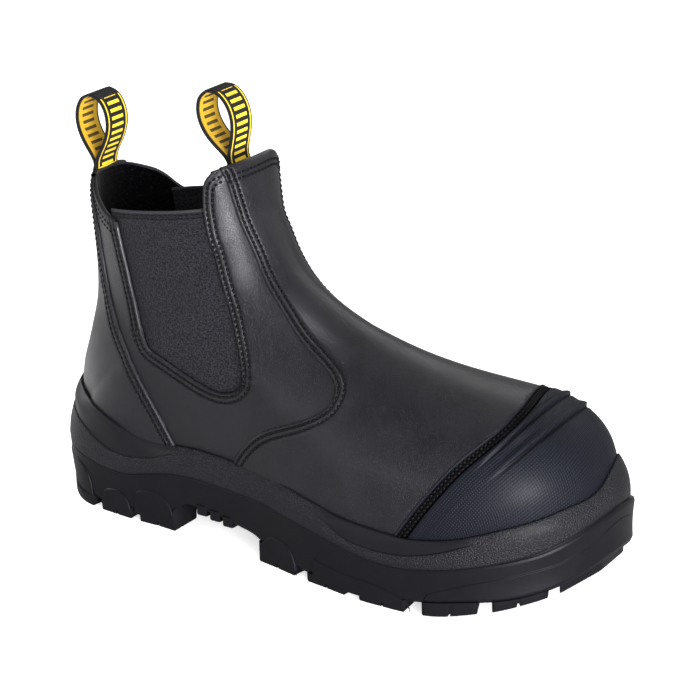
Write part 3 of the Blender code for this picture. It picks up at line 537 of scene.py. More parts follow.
def quarter_grids(side):
    """Two grids of section coordinates on one side, behind the notch and in front of it, and the
    distance of every point from the notch."""
    low_u, low_v, high_u, high_v = notch_edges(side)
    tip = low_u[0]
    u = np.concatenate([np.linspace(QUARTER_FROM, tip, 26)[:-1],
                        tip + (COLLAR - tip) * np.linspace(0.0, 1.0, 110) ** 1.7])
    flip = (lambda w: w) if side == "lateral" else (lambda w: 1.0 - w)
    outline = np.stack([np.concatenate([low_u[::-1], high_u]),
                        flip(np.concatenate([low_v[::-1], high_v]))], axis=1)
    grids = []
    for edge_u, edge_v, far_v, steps in ((low_u, low_v, 0.0, 34), (high_u, high_v, 0.5, 22)):
        seam = np.stack([u, flip(np.interp(u, edge_u, edge_v))], axis=1)
        far = np.stack([u, flip(np.full_like(u, far_v))], axis=1)
        grid_u, grid_v = ruled(seam, far, steps)
        grids.append((grid_u, grid_v, distance_from(outline, on_last(grid_u, grid_v))))
    return grids


QUARTERS = {side: quarter_grids(side) for side in ("lateral", "medial")}
patches = []
for grids in QUARTERS.values():
    for u, v, d in grids:
        lift = turned_edge(d, UPPER_FACE, LINING_FACE + 0.4)
        patches.append({"points": on_last(u, v, lift), "facing": facing(u, v), "edge": d})
        patches.append(rim_patch(v[:, -1], lift[:, -1], UPPER_FACE))
make_piece("leather_quarters", patches, leather, ["upper"])

# Stitching of the notch and collar
# Waxed black thread in two rows round the elastic's notch and along the collar, sewn by machine at about
# nine stitches to the inch. Each stitch is a small plump bead of thread that sinks into the leather.

STITCH_PITCH = 2.7
STITCH_SIZE = (2.0, 1.45, 1.3)
COLLAR_ROWS = (2.6, 5.4)
COLLAR_SEAM = (0.066, 0.408)
THREAD_SINK = 0.22
SEAM_END = 0.03
CORNER_TURNS = 40

THREAD = Finish("black_thread", {"Specular IOR Level": 0.10})
twist = THREAD.place.node("ShaderNodeTexWave", {"bands_direction": "DIAGONAL"},
                          {"Vector": THREAD.place, "Scale": 900.0})
THREAD.feed(Base_Color=twist.blend((0.0010, 0.0010, 0.0013, 1.0), (0.0040, 0.0039, 0.0050, 1.0)),
            Roughness=0.42 + twist * 0.15)


def stitch_nodes():
    """Beads of thread set on points, turned along the seam and away from the leather."""
    tree = bpy.data.node_groups.new("stitches", "GeometryNodeTree")
    tree.interface.new_socket("Geometry", in_out="INPUT", socket_type="NodeSocketGeometry")
    for name in ("Length", "Width", "Height"):
        tree.interface.new_socket(name, in_out="INPUT", socket_type="NodeSocketFloat")
    tree.interface.new_socket("Thread", in_out="INPUT", socket_type="NodeSocketMaterial")
    tree.interface.new_socket("Geometry", in_out="OUTPUT", socket_type="NodeSocketGeometry")
    given = {s.name: Signal(tree, s) for s in tree.nodes.new("NodeGroupInput").outputs}
    add = Signal(tree).node
    bead = add("GeometryNodeMeshUVSphere", {}, {"Segments": 8, "Rings": 5, "Radius": 0.5})
    size = add("ShaderNodeCombineXYZ", {}, {"X": given["Length"], "Y": given["Width"], "Z": given["Height"]})
    along, up = (add("GeometryNodeInputNamedAttribute", {"data_type": "FLOAT_VECTOR"}, {"Name": name},
                     "Attribute") for name in ("along", "up"))
    turn = add("FunctionNodeAxesToRotation", {"primary_axis": "X", "secondary_axis": "Z"},
               {"Primary Axis": along, "Secondary Axis": up})
    points = add("GeometryNodeMeshToPoints", {}, {"Mesh": given["Geometry"]})
    beads = add("GeometryNodeInstanceOnPoints", {},
                {"Points": points, "Instance": bead, "Rotation": turn, "Scale": size})
    real = add("GeometryNodeRealizeInstances", {}, {"Geometry": beads})
    smooth = add("GeometryNodeSetShadeSmooth", {}, {"Geometry": real})
    paint = add("GeometryNodeSetMaterial", {}, {"Geometry": smooth, "Material": given["Thread"]})
    tree.links.new(paint.socket, tree.nodes.new("NodeGroupOutput").inputs["Geometry"])
    return tree


STITCH_NODES = stitch_nodes()


def spread(path, count):
    """A path in section coordinates with its points spread evenly over the form."""
    return evenly(np.concatenate([on_last(*path.T), path], axis=1), count)[:, 3:]


def beside(path, offset):
    """A path in section coordinates moved sideways over the form, to the left as it runs."""
    for part in range(3):
        u, v = path.T
        along = np.gradient(on_last(u, v), axis=0)
        along /= np.maximum(np.linalg.norm(along, axis=1, keepdims=True), 1e-9)
        aside = np.cross(facing(u, v), along)
        du, dv = slopes(np.clip(u, SEAM_END, COLLAR - SEAM_END), np.clip(v, 0.003, 0.997))
        a, b, c = (du * du).sum(axis=1), (du * dv).sum(axis=1), (dv * dv).sum(axis=1)
        p, q = (aside * du).sum(axis=1), (aside * dv).sum(axis=1)
        det = a * c - b * b
        step = np.stack([(c * p - b * q) / det, (a * q - b * p) / det], axis=1)
        path = path + step * offset / 3.0
    return path


def sew(name, rows, size=STITCH_SIZE, pitch=STITCH_PITCH):
    """Stitches along rows, each a path of points in millimetres and the way the surface faces there."""
    spots, along, up = [], [], []
    for points, out in rows:
        steps = np.linalg.norm(np.diff(points, axis=0), axis=1)
        count = max(int(steps.sum() / pitch), 2)
        spots.append(evenly(points, count))
        along.append(np.gradient(spots[-1], axis=0))
        at, run = np.linspace(0.0, steps.sum(), count), np.concatenate([[0.0], np.cumsum(steps)])
        up.append(np.stack([np.interp(at, run, out[:, k]) for k in range(3)], axis=1))
    spots, along, up = (np.concatenate(part) for part in (spots, along, up))
    mesh = bpy.data.meshes.new(name)
    mesh.from_pydata(((spots - HEEL_TO_ORIGIN) * 0.001).tolist(), [], [])
    for attribute, values in (("along", along), ("up", up)):
        values = values / np.linalg.norm(values, axis=1, keepdims=True)
        mesh.attributes.new(attribute, "FLOAT_VECTOR", "POINT").data.foreach_set("vector", values.reshape(-1))
    piece = bpy.data.objects.new(name, mesh)
    bpy.context.scene.collection.objects.link(piece)
    sewing = piece.modifiers.new("stitches", "NODES")
    sewing.node_group = STITCH_NODES
    sockets = {s.name: s.identifier for s in STITCH_NODES.interface.items_tree if s.in_out == "INPUT"}
    for part, value in zip(("Length", "Width", "Height"), size):
        sewing[sockets[part]] = value * 0.001
    sewing[sockets["Thread"]] = THREAD.material
    drawn = piece.evaluated_get(bpy.context.evaluated_depsgraph_get())
    piece.data = bpy.data.meshes.new_from_object(drawn)
    piece.modifiers.clear()
    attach(piece, "root")


def seam_row(path, offset, lift):
    """A row of stitches beside a seam: its points at a height, and the way the form faces there."""
    path = beside(path, offset)
    inside = (path[:, 0] < COLLAR - SEAM_END) & (path[:, 0] > 0.05)
    u, v = path[inside].T
    return on_last(u, v, lift), facing(u, v)


notch_rows = []
for side, sign in (("lateral", -1.0), ("medial", 1.0)):
    low_u, low_v, high_u, high_v = notch_edges(side)
    top = COLLAR - SEAM_END
    low, high = low_u < top, high_u < top
    behind = np.linspace(COLLAR_SEAM[0], low_v[low][-1], 40)[:-1]
    ahead = np.linspace(high_v[high][-1], COLLAR_SEAM[1], 40)[1:]
    path = np.stack([
        np.concatenate([np.full_like(behind, top), low_u[low][::-1], high_u[high], np.full_like(ahead, top)]),
        np.concatenate([behind, low_v[low][::-1], high_v[high], ahead])], axis=1)
    if side == "medial":
        path[:, 1] = 1.0 - path[:, 1]
    path = spread(path, 320)
    for turn in range(CORNER_TURNS):
        path[1:-1] = 0.5 * path[1:-1] + 0.25 * (path[:-2] + path[2:])
    notch_rows += [seam_row(path, sign * row, UPPER_FACE - THREAD_SINK) for row in STITCH_ROWS]
sew("notch_stitching", notch_rows)

# Textile lining
# Black brushed polyester felt glued inside the leather, seen down through the open collar.

lining = Finish("black_lining", {"Roughness": 0.95, "Specular IOR Level": 0.04, "Sheen Weight": 0.03,
                                 "Sheen Roughness": 0.5})
fuzz = lining.place.noise(900.0, 4.0, 0.7)
lining.feed(Base_Color=fuzz.rise(0.52, 0.76).blend((0.0004, 0.0004, 0.0008, 1.0), (0.012, 0.0125, 0.018, 1.0)))
lining.relief((fuzz, 0.5, 0.7))

grids = [(u, v) for side in QUARTERS for u, v, d in QUARTERS[side]]
grids.append(np.meshgrid(np.linspace(0.0, QUARTER_FROM, 44), np.linspace(0.0, 1.0, 90), indexing="ij"))
inside = [{"points": on_last(u, v, LINING_FACE), "facing": -facing(u, v)} for u, v in grids]
make_piece("textile_lining", inside, lining)

# Elastic gussets
# Woven rubber-cored elastic let into the notch on each side, with narrow upright ribs. Its top edge is a
# selvedge held by a hem tape and two rows of stitches, and its other edges are sewn under the leather.

GUSSET_FACE = -4.1
GUSSET_THICK = 1.2
GUSSET_TOPS = {"lateral": (160.5, 172.0), "medial": (157.5, 169.0)}
GUSSET_FOOT = 73.0
GUSSET_TOP_X = (40.0, 108.0)
GUSSET_FOOT_X = (56.0, 142.0)
GUSSET_RIPPLE = 0.25
HEM = 4.4
HEM_ROWS = (1.9, 3.6)
HEM_STITCH = (2.4, 0.5, 0.3)
HEM_PITCH = 2.8
HEM_ENDS = slice(6, -6)

elastic = Finish("woven_elastic", {"Specular IOR Level": 0.10, "Sheen Weight": 0.05, "Sheen Roughness": 0.45})
across, below = elastic.reads("across"), elastic.reads("below")
upright = across.node("ShaderNodeCombineXYZ", {}, {"X": across, "Y": below * 0.35})
level = across.node("ShaderNodeCombineXYZ", {}, {"X": across * 0.35, "Y": below})
rib = upright.noise(1.7, 1.0, 0.5).rise(0.35, 0.65)
pick = level.noise(1.7, 1.0, 0.5).rise(0.35, 0.65)
lint = elastic.place.noise(1500.0, 2.0, 0.6).rise(0.36, 0.64)
hem = 1.0 - below.rise(HEM - 0.3, HEM)
selvedge = 1.0 - below.rise(0.5, 0.9)
weave = rib * 0.35 + pick * 0.35 + lint * 0.5
shade = (weave - 0.2).blend((0.0012, 0.0012, 0.0017, 1.0), (0.024, 0.0236, 0.030, 1.0))
taped = (hem * 0.35).blend(shade, (0.004, 0.004, 0.005, 1.0))
elastic.feed(
    Base_Color=selvedge.blend(taped, (0.026, 0.026, 0.031, 1.0)),
    Roughness=0.75 + lint * 0.15,
)
elastic.relief((rib * 0.5 + pick * 0.5, 0.25, 0.6), (lint, 0.25, 0.4), (hem, 0.5, 0.5))

for side in GUSSET_TOPS:
    s, t = np.meshgrid(np.linspace(0.0, 1.0, 90), np.linspace(0.0, 1.0, 110), indexing="ij")
    x = between(between(*GUSSET_TOP_X, s), between(*GUSSET_FOOT_X, s), t)
    z = between(between(*GUSSET_TOPS[side], s), GUSSET_FOOT, t)
    u, v = (part.reshape(x.shape) for part in uv_at(x.ravel(), z.ravel(), side)[:2])
    ripple = GUSSET_RIPPLE * np.sin(s * 21.0 + 1.0) * ease(t, 0.0, 0.15) * (1.0 - ease(t, 0.7, 1.0))
    front = on_last(u, v, GUSSET_FACE + ripple)
    back = on_last(u, v, GUSSET_FACE - GUSSET_THICK + ripple)
    width = np.linalg.norm(np.diff(front, axis=0), axis=2).sum(axis=0).mean()
    drop = np.cumsum(np.linalg.norm(np.diff(front, axis=1), axis=2), axis=1)
    drop = np.concatenate([np.zeros((len(s), 1)), drop], axis=1)
    out = facing(u, v)
    turn = np.linspace(0.0, math.pi, 6)[:, None]
    lift = GUSSET_FACE - GUSSET_THICK * 0.5 * (1.0 - np.cos(turn)) + ripple[:, 0]
    edge = on_last(u[:, 0] + 0 * turn, v[:, 0] + 0 * turn, lift)
    edge[..., 2] += 0.5 * GUSSET_THICK * np.sin(turn)
    name = "elastic_" + side
    make_piece(name, [
        {"points": front, "facing": out, "across": s * width, "below": drop},
        {"points": back, "facing": -out, "across": s * width, "below": drop},
        {"points": edge, "facing": (0, 0, 1), "across": s[:, 0] * width + 0 * turn,
         "below": np.zeros(edge.shape[:2])},
    ], elastic, ["gusset_" + side])
    hem_rows = []
    for level in HEM_ROWS:
        k = np.argmin(np.abs(drop[len(s) // 2] - level))
        hem_rows.append((front[HEM_ENDS, k] + out[HEM_ENDS, k] * 0.12, out[HEM_ENDS, k]))
    sew(name + "_hem_stitching", hem_rows, HEM_STITCH, HEM_PITCH)

# Vamp
# The front panel over the instep and forefoot, cut in one with the wings that run down each side. It
# laps the quarters with a turned edge, is held by two rows of stitches and tucks in under the toe cap.

OVERLAY_FACE = 0.4
OVERLAY_ROUND = 1.5
# Section coordinates of the seam, and of the panel's middle or front edge across from each point of it
VAMP = (
    (6.95, 0, 3.79, 0), (6.94, 0.05, 3.77, 0.05), (6.90, 0.09, 3.74, 0.10), (6.77, 0.14, 3.70, 0.17),
    (6.54, 0.18, 3.65, 0.24), (6.27, 0.22, 3.53, 0.31), (6.09, 0.26, 3.41, 0.38), (6.07, 0.285, 3.42, 0.45),
    (6.11, 0.312, 3.40, 0.5), (6.37, 0.346, 4.4, 0.5), (6.92, 0.377, 5.5, 0.5), (7.5, 0.409, 6.6, 0.5),
    (8.27, 0.430, 7.8, 0.5), (9.19, 0.441, 9.0, 0.5), (11.1, 0.447, 11.0, 0.5), (12.7, 0.432, 12.6, 0.5),
    (14, 0.414, 14, 0.5),
)
# The cap's rear edge: place across the section, then the section
CAP_SEAM = (
    (0, 4.08), (0.13, 4.02), (0.24, 3.92), (0.36, 3.68), (0.44, 3.78), (0.5, 3.90),
    (0.56, 3.97), (0.64, 3.98), (0.76, 4.02), (0.87, 4.06), (1.0, 4.08),
)
TUCK = 2.2
TUCK_SPAN = (0.02, 0.09)
FRONT_SEAM = (0.424, 0.576)


def lapped_panel(seam, far, steps, stations, collar_end):
    """Both halves of a panel that laps the quarters along a seam, and the seam's rows of stitches.

    The column of the panel's grid at collar_end runs along the collar.
    """
    u, v = ruled(seam, far, steps)
    d = distance_from(seam, on_last(u, v))
    lift = turned_edge(d, OVERLAY_FACE, UPPER_FACE, OVERLAY_ROUND)
    made, rows = [], []
    for mirror in (False, True):
        w = 1.0 - v if mirror else v
        under_cap = np.interp(w, *np.array(CAP_SEAM).T) - u
        points = on_last(u, w, lift - TUCK * ease(under_cap, *TUCK_SPAN))
        made.append({"points": points, "facing": facing(u, w), "edge": d})
        made.append(rim_patch(w[:, collar_end], lift[:, collar_end], OVERLAY_FACE))
        line = spread(seam * (1, -1) + (0, 1) if mirror else seam, stations)
        sign = 1.0 if mirror else -1.0
        rows += [seam_row(line, sign * row, OVERLAY_FACE - THREAD_SINK) for row in STITCH_ROWS]
    return made, rows


vamp = np.array(VAMP)
rows = np.arange(200) * (len(vamp) - 1) / 199
seam = through(vamp[:, :2])(rows)
far = np.stack([np.interp(rows, np.arange(len(vamp)), vamp[:, k]) for k in (2, 3)], axis=1)
patches, vamp_rows = lapped_panel(seam, far, 46, 260, -1)
make_piece("vamp", patches, leather, ["vamp"])
v = np.linspace(*FRONT_SEAM, 60)
top = np.stack([np.full_like(v, COLLAR - 0.04), v], axis=1)
vamp_rows += [seam_row(top, -row, OVERLAY_FACE + 0.12) for row in COLLAR_ROWS]
sew("vamp_stitching", vamp_rows)

# Heel counter
# A leather panel round the heel that stiffens the back of the boot. It narrows to a strip up to the collar
# and laps the quarters like the vamp.

# The seam as seen from the side, along and up, and the section where each point's row meets the back
COUNTER = (
    (20.0, 171.0, 14), (25.5, 160.0, 13.8), (29.8, 147.3, 13.62), (34.6, 126.0, 13.2), (42.3, 109.0, 12.8),
    (51.4, 96.1, 12.4), (60.6, 84.4, 12.05), (69.0, 72.3, 11.8), (77.8, 58.9, 11.55), (86.1, 45.8, 11.35),
    (92.0, 36.8, 11.25),
)
rows = np.linspace(0, len(COUNTER) - 1, 200)
counter_line = through(COUNTER)(rows)
u, v = uv_at(counter_line[:, 0], counter_line[:, 1], "lateral")[:2]
seam = np.stack([np.minimum(u, COLLAR), v], axis=1)
seam[0, 0] = COLLAR
far = np.stack([counter_line[:, 2], np.zeros(len(rows))], axis=1)
patches, counter_rows = lapped_panel(seam, far, 40, 200, 0)
make_piece("heel_counter", patches, leather, ["counter"])
sew("counter_stitching", counter_rows)

# Toe cap
# A bumper of bluish charcoal rubberised leather lasted over a hard toe shell. Two raised ribs cross its
# top, and its rear edge has a rolled rim and a stitched channel where it laps the vamp.

CAP_FACE = 1.3
CAP_ROUND = 1.1
CAP_FOOT = 0.06
CHANNEL_DEPTH = 1.1
CHANNEL_ROWS = (2.8, 5.1)
CHANNEL_STITCH = (2.1, 1.4, 1.2)
CHANNEL_PITCH = 2.5
KNOT_PITCH = 1.25
CAP_RIBS = (2.78, 3.30)
RIB_HALF_U = 0.07
RIB_BACK_U = 0.20
RIB_RISE = 1.4
RIB_ENDS = (0.15, 0.27)
GROOVE_DEPTH = 0.4
GROOVE_WIDE = 0.035

cap = Finish("cap_rubber", {"Specular IOR Level": 0.12, "Specular Tint": (0.85, 0.88, 1.0, 1.0),
                            "Coat Roughness": 0.35, "Coat Weight": 0.06})
edge, ditch = cap.reads("edge"), cap.reads("ditch")
run, girth = cap.reads("run"), cap.reads("girth")
knots = run.waves(KNOT_PITCH) * girth.waves(KNOT_PITCH)
grit = cap.place.noise(700.0, 4.0, 0.6)
# Painted highlight: the rolled rim along the cap's rear edge is coloured lighter than the cap.
rim = 1.0 - edge.rise(0.9, 1.5)
# Painted shade: the stitched channel and the rib grooves (the ditch) are coloured near black.
body = ditch.blend((0.0029, 0.0033, 0.0062, 1.0), (0.001, 0.001, 0.0013, 1.0))
cap.feed(
    Base_Color=(rim * 0.8 + knots * 0.25).blend(body, (0.013, 0.0138, 0.0205, 1.0)),
    Roughness=0.46 + grit * 0.14 - rim * 0.06,
)
# Painted shade: a dark matt colour also covers the ditch.
cap.paint_shade_where(ditch * 0.62, (0.0012, 0.0012, 0.0016, 1.0))
cap.relief((knots * (1.0 - rim) * (1.0 - ditch), 0.30, 0.75), (grit, 0.15, 0.3))

v = np.concatenate([np.linspace(0.0, 0.5, 131), np.linspace(0.5, 1.0, 131)[1:]])
seam_u = np.interp(v, *np.array(CAP_SEAM).T)
soft = np.convolve(np.pad(seam_u, 14, mode="edge"), np.hanning(29) / np.hanning(29).sum(), mode="valid")
seam = np.stack([soft, v], axis=1)
far = np.stack([np.full_like(v, CAP_FOOT), v], axis=1)
u, w = ruled(seam, far, 150)
d = distance_from(seam, on_last(u, w))
lift = turned_edge(d, CAP_FACE, UPPER_FACE, CAP_ROUND)
lift = lift - CHANNEL_DEPTH * ease(d, 1.3, 2.0) * (1.0 - ease(d, 5.9, 6.8))
# The ditch marks the stitched channel and, below, the rib grooves, where the cap's finish paints shade.
ditch = ease(d, 1.2, 1.8) * (1.0 - ease(d, 6.0, 6.9))
for at in CAP_RIBS:
    strength = 1.0 - ease(np.abs(w - 0.5), *RIB_ENDS)
    groove = strength * np.exp(-((u - at + RIB_HALF_U * 1.3) / GROOVE_WIDE) ** 2)
    fin = np.where(u > at, ease(at + RIB_BACK_U - u, 0.0, RIB_BACK_U),
                   ease(u - at + RIB_HALF_U, 0.0, RIB_HALF_U))
    lift = lift + RIB_RISE * strength * fin - GROOVE_DEPTH * groove
    ditch = np.maximum(ditch, groove)
points = on_last(u, w, lift)
girth = np.cumsum(np.linalg.norm(np.diff(points, axis=1), axis=2), axis=1)
girth = np.concatenate([np.zeros((len(u), 1)), girth], axis=1)
girth = girth - girth[:, [len(v) // 2]]
patch = {"points": points, "facing": facing(u, w), "edge": d, "run": d, "girth": girth, "ditch": ditch}
make_piece("toe_cap", [patch], cap, ["toe_cap"])
line = spread(seam, 260)
cap_rows = [seam_row(line, -row, CAP_FACE - 1.0) for row in CHANNEL_ROWS]
sew("toe_cap_stitching", cap_rows, CHANNEL_STITCH, CHANNEL_PITCH)

# Foot bed
# A loose insole of black felt-topped foam, seen far down inside the boot.

foot_bed = Finish("foot_bed_felt", {"Roughness": 0.95, "Specular IOR Level": 0.1})
nap = foot_bed.place.noise(800.0, 4.0, 0.7)
foot_bed.feed(Base_Color=nap.blend((0.012, 0.012, 0.013, 1.0), (0.040, 0.040, 0.042, 1.0)))
foot_bed.relief((nap, 0.6, 0.6))
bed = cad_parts["insole"]
bed.data.materials.clear()
bed.data.materials.append(foot_bed.material)

# Midsole
# One moulded band of black rubber round the whole boot: a pebbled wall with a rounded shoulder, a smooth
# strip above it at heel and ball, and a lip that rises over heel and toe. The upper is bonded into it.

# Plan of the sole: distance from the heel, then outer and inner half-widths
PLAN = (
    (0, -4, 4), (3, 13, 20), (10, 27.5, 31), (25, 39, 40), (50, 43.5, 42.5), (80, 44, 41),
    (110, 45.5, 39.5), (140, 49.5, 41.5), (170, 55.5, 46.5), (200, 60, 53.5), (222, 61, 57.5),
    (250, 58.5, 58), (275, 50.5, 53.5), (296, 36, 43.5), (308.5, 18, 30.6), (315, -7, 7),
)
# Side of the sole: heights by distance from the heel
SIDE_COLUMNS = ("x", "tread", "underside", "parting", "band", "lip")
SIDE = (
    (0, 6, 13, 33, 49.5, 61), (10, 1.5, 8, 30.8, 48.6, 59.6), (19, 0.4, 6, 29.2, 47.2, 58),
    (27, 0, 5.5, 27.8, 44.6, 57.2), (35, 0, 5.5, 26.3, 40.6, 56), (44, 0, 5.5, 24.5, 36.2, 53.2),
    (58, 0, 5.5, 24.4, 34.7, 47.4), (73, 0, 5.5, 28.4, 37.2, 44.5), (85, 0, 6, 31.2, 42.5, 46),
    (91, 0, 17.5, 32, 44, 46.7), (102, 0, 17, 32.8, 45.2, 47.7), (118, 0, 15.6, 32.5, 45, 47.4),
    (130, 0, 14.4, 32.4, 44.6, 46.8), (143, 0, 13, 32.6, 43.8, 46), (150, 0, 6, 32, 43.2, 45.4),
    (161, 0, 5, 30.4, 42.2, 44.5), (177, 0, 4.4, 28.3, 39.2, 41.4), (184, 0, 4.2, 27.2, 37.4, 40.2),
    (190, 0, 4.2, 26.2, 33.5, 39.2), (202, 0, 4.2, 24.2, 29.6, 38.4), (218, 0, 4.6, 22.3, 29, 37.8),
    (232, 0, 6, 22.6, 29.8, 38), (250, 1, 8, 25.6, 34.6, 40.4), (260, 3, 10, 27.6, 39, 42.8),
    (268, 5, 11, 29.6, 42.4, 45.4), (283, 8.6, 12.8, 33.2, 47.4, 50.3), (295, 12.4, 16.2, 36.8, 50.8, 53.7),
    (305, 16.4, 20.4, 42.2, 54.6, 57.5), (309, 18.6, 22.8, 45, 56.8, 59.8),
    (312, 20.5, 24.8, 47.6, 59.8, 62.8), (315, 22.5, 26.8, 50.4, 63.4, 66.4), (318, 24.5, 29, 53.6, 66, 69),
)
STATIONS = 480
BAND_IN = 0.3
BAND_STEP = 1.2
LIP_WIDE = 1.9
LIP_LEAST = 1.2
PARTING_IN = 1.5
# Band and lip rise to the inner side of the toe's middle line and dip to the outer: by how much, over
# what width and along what stretch
TOE_MIDDLE = 12.0
TOE_RISE, RISE_WIDE, RISE_SPAN = 8.0, 16.0, (272, 310)
TOE_TILT, TILT_WIDE, TILT_SPAN = 4.8, 12.0, (304, 315)
# Where the wall's forms come and go along the sole
HEEL_SPAN = (4, 42)
TOE_SPAN = (266, 304)
TOE_IN, INNER_TOE = 1.5, (0, 25)
WAIST_PEBBLES = ((80, 92), (178, 190))
TOE_PEBBLES = (258, 270)


def plan_ring():
    """The sole's outline from above, evenly spaced, from the heel along the outer side and back."""
    lateral = [(x, -a) for x, a, b in PLAN]
    medial = [(x, b) for x, a, b in reversed(PLAN)]
    ring = np.array(lateral[:-1] + medial[:-1], float)
    p0, p1, p2, p3 = (np.roll(ring, k, axis=0)[:, None] for k in (1, 0, -1, -2))
    t = np.linspace(0.0, 1.0, 40, endpoint=False)[None, :, None]
    curve = 0.5 * (2 * p1 + (p2 - p0) * t + (2 * p0 - 5 * p1 + 4 * p2 - p3) * t ** 2
                   + (3 * p1 - p0 - 3 * p2 + p3) * t ** 3)
    curve = curve.reshape(-1, 2)
    return evenly(np.concatenate([curve, curve[:1]]), STATIONS + 1)[:-1]


def round_ring(values, width):
    """Values round the ring with their corners softened over a number of stations."""
    weights = np.hanning(2 * width + 3)[1:-1]
    padded = np.concatenate([values[-width:], values, values[:width]])
    return np.convolve(padded, weights / weights.sum(), mode="valid")


RING = plan_ring()
heading = np.roll(RING, -1, axis=0) - np.roll(RING, 1, axis=0)
RING_OUT = np.stack([heading[:, 1], -heading[:, 0]], axis=1)
RING_OUT /= np.linalg.norm(RING_OUT, axis=1, keepdims=True)
if (RING_OUT * (RING - RING.mean(axis=0))).sum() < 0.0:
    RING_OUT = -RING_OUT
SIDE_AT = {name: round_ring(np.interp(RING[:, 0], [r[0] for r in SIDE], [r[k] for r in SIDE]), 6)
           for k, name in enumerate(SIDE_COLUMNS)}


def ring_at(inset, z):
    """Points round the sole, moved in from its outline and at a height."""
    flat = RING - RING_OUT * np.broadcast_to(inset, len(RING))[:, None]
    return np.concatenate([flat, np.broadcast_to(z, len(RING))[:, None]], axis=1)


def closed_rows(rows):
    """A grid of rows round the sole, with the first column set again at the end."""
    grid = np.array(rows)
    return np.concatenate([grid, grid[:, :1]], axis=1)


sparse = NET[::2, ::2].reshape(-1, 3)
sparse_out = NET_NORMAL[::2, ::2].reshape(-1, 3)
form = kdtree.KDTree(len(sparse))
for k, p in enumerate(sparse):
    form.insert(p, k)
form.balance()


def inset_to_form(z, depth):
    """How far in from the outline the upper's face lies, all round, at a height."""
    found = np.full(len(RING), 14.0)
    for i in range(len(RING)):
        for inset in np.arange(0.0, 16.0, 0.4):
            p = np.array([*(RING[i] - RING_OUT[i] * inset), z[i]])
            spot, k, far = form.find(p)
            if (p - np.array(spot)) @ sparse_out[k] < depth[i]:
                found[i] = inset
                break
    return round_ring(found, 5)


zp, zb, zl = (SIDE_AT[name] for name in ("parting", "band", "lip"))
x, y = RING.T
aside = y - TOE_MIDDLE
tilt = np.where(aside > 0.0, TOE_RISE * np.clip(aside / RISE_WIDE, 0.0, 1.0) * ease(x, *RISE_SPAN),
                TOE_TILT * np.clip(aside / TILT_WIDE, -1.0, 0.0) * ease(x, *TILT_SPAN))
zb, zl = zb + round_ring(tilt, 8), zl + round_ring(tilt, 8)
at_heel = 1.0 - ease(x, *HEEL_SPAN)
at_toe = ease(x, *TOE_SPAN)
face_there = 0.2 - 1.5 * ease(x, 50, 62) * (1.0 - ease(x, 150, 165)) + 0.9 * ease(x, 225, 232)
against = np.maximum(inset_to_form(zl, face_there), LIP_LEAST + LIP_WIDE)
lip_in = against - LIP_WIDE
toe_in = TOE_IN * at_toe * (1.0 - ease(y, *INNER_TOE))
foot_in = BAND_IN - 0.2 * at_heel + toe_in
band_in = BAND_IN + 2.2 * at_heel + toe_in
at_waist = ease(x, *WAIST_PEBBLES[0]) * (1.0 - ease(x, *WAIST_PEBBLES[1]))
pebbled = np.maximum(ease(x, *TOE_PEBBLES), at_waist)

# The wall's profile from the parting line up: inset from the plan, height, and share of pebbling
profile = [(foot_in + 0.12, zp + 1.0, 0.6), (foot_in, zp + 1.8, 1.0)]
for t in np.linspace(0.08, 0.94, 12):
    bow = 0.45 * math.sin(math.pi * t)
    profile.append((foot_in + (band_in - foot_in) * t - bow, zp + 1.8 + (zb - zp - 3.3) * t, 1.0))
profile += [
    (band_in, zb - 1.3, 1.0), (band_in + 0.15, zb - 0.8, 1.0), (band_in + 0.45, zb - 0.35, 1.0),
    (band_in + 0.85, zb - 0.05, np.maximum(pebbled, 0.6)), (band_in + BAND_STEP * 0.95, zb + 0.02, pebbled),
    (band_in + BAND_STEP, zb + 0.25, pebbled),
]
strip_in, strip_z = band_in + BAND_STEP, zb + 0.25
for t in (0.10, 0.22, 0.35, 0.48, 0.61, 0.74, 0.87):
    bow = (0.35 + 1.0 * at_heel) * math.sin(math.pi * t)
    inset = strip_in + (lip_in - 0.35 - strip_in) * t - bow
    profile.append((inset, strip_z + (zl - 0.9 - strip_z) * t, pebbled))
# Where the pebbles reach the lip, the wall leans in as one curve
steep = 3.2 - 0.9 * ease(x, 296, 310)
for k, (inset, z, share) in enumerate(profile):
    t = np.clip((z - zp - 1.0) / (zl - 0.75 - zp - 1.0), 0.0, 1.0)
    curve = foot_in + (lip_in - 0.25 - foot_in) * (0.30 * t + 0.70 * t ** steep) - 0.5 * np.sin(math.pi * t)
    profile[k] = (inset + (curve - inset) * pebbled, z, share)
foot = [(PARTING_IN + 1.0, zp, 0.0), (PARTING_IN, zp + 0.05, 0.0), (foot_in + 0.45, zp + 0.45, 0.0)]
profile = foot + profile
profile += [
    (lip_in - 0.25, zl - 0.75, pebbled), (lip_in + 0.05, zl - 0.3, pebbled), (lip_in + 0.55, zl, pebbled),
    (against - 0.6, zl - 0.1, pebbled), (against - 0.38, zl - 0.6, 0.0), (against - 0.2, zl - 2.2, 0.0),
    (against + 0.6, zl - 3.6, 0.0),
]

band = Finish("pebbled_rubber", {"Specular IOR Level": 0.15, "Specular Tint": COOL, "Coat Roughness": 0.3,
                                 "Coat Weight": 0.04})
grain = band.reads("grain")
pebble = band.place.node("ShaderNodeTexVoronoi", {"feature": "SMOOTH_F1"},
                         {"Vector": band.place, "Scale": 1250.0, "Smoothness": 0.3})
coarse = band.place.noise(260.0, 4.0, 0.6)
dust = band.place.noise(45.0, 4.0, 0.6)
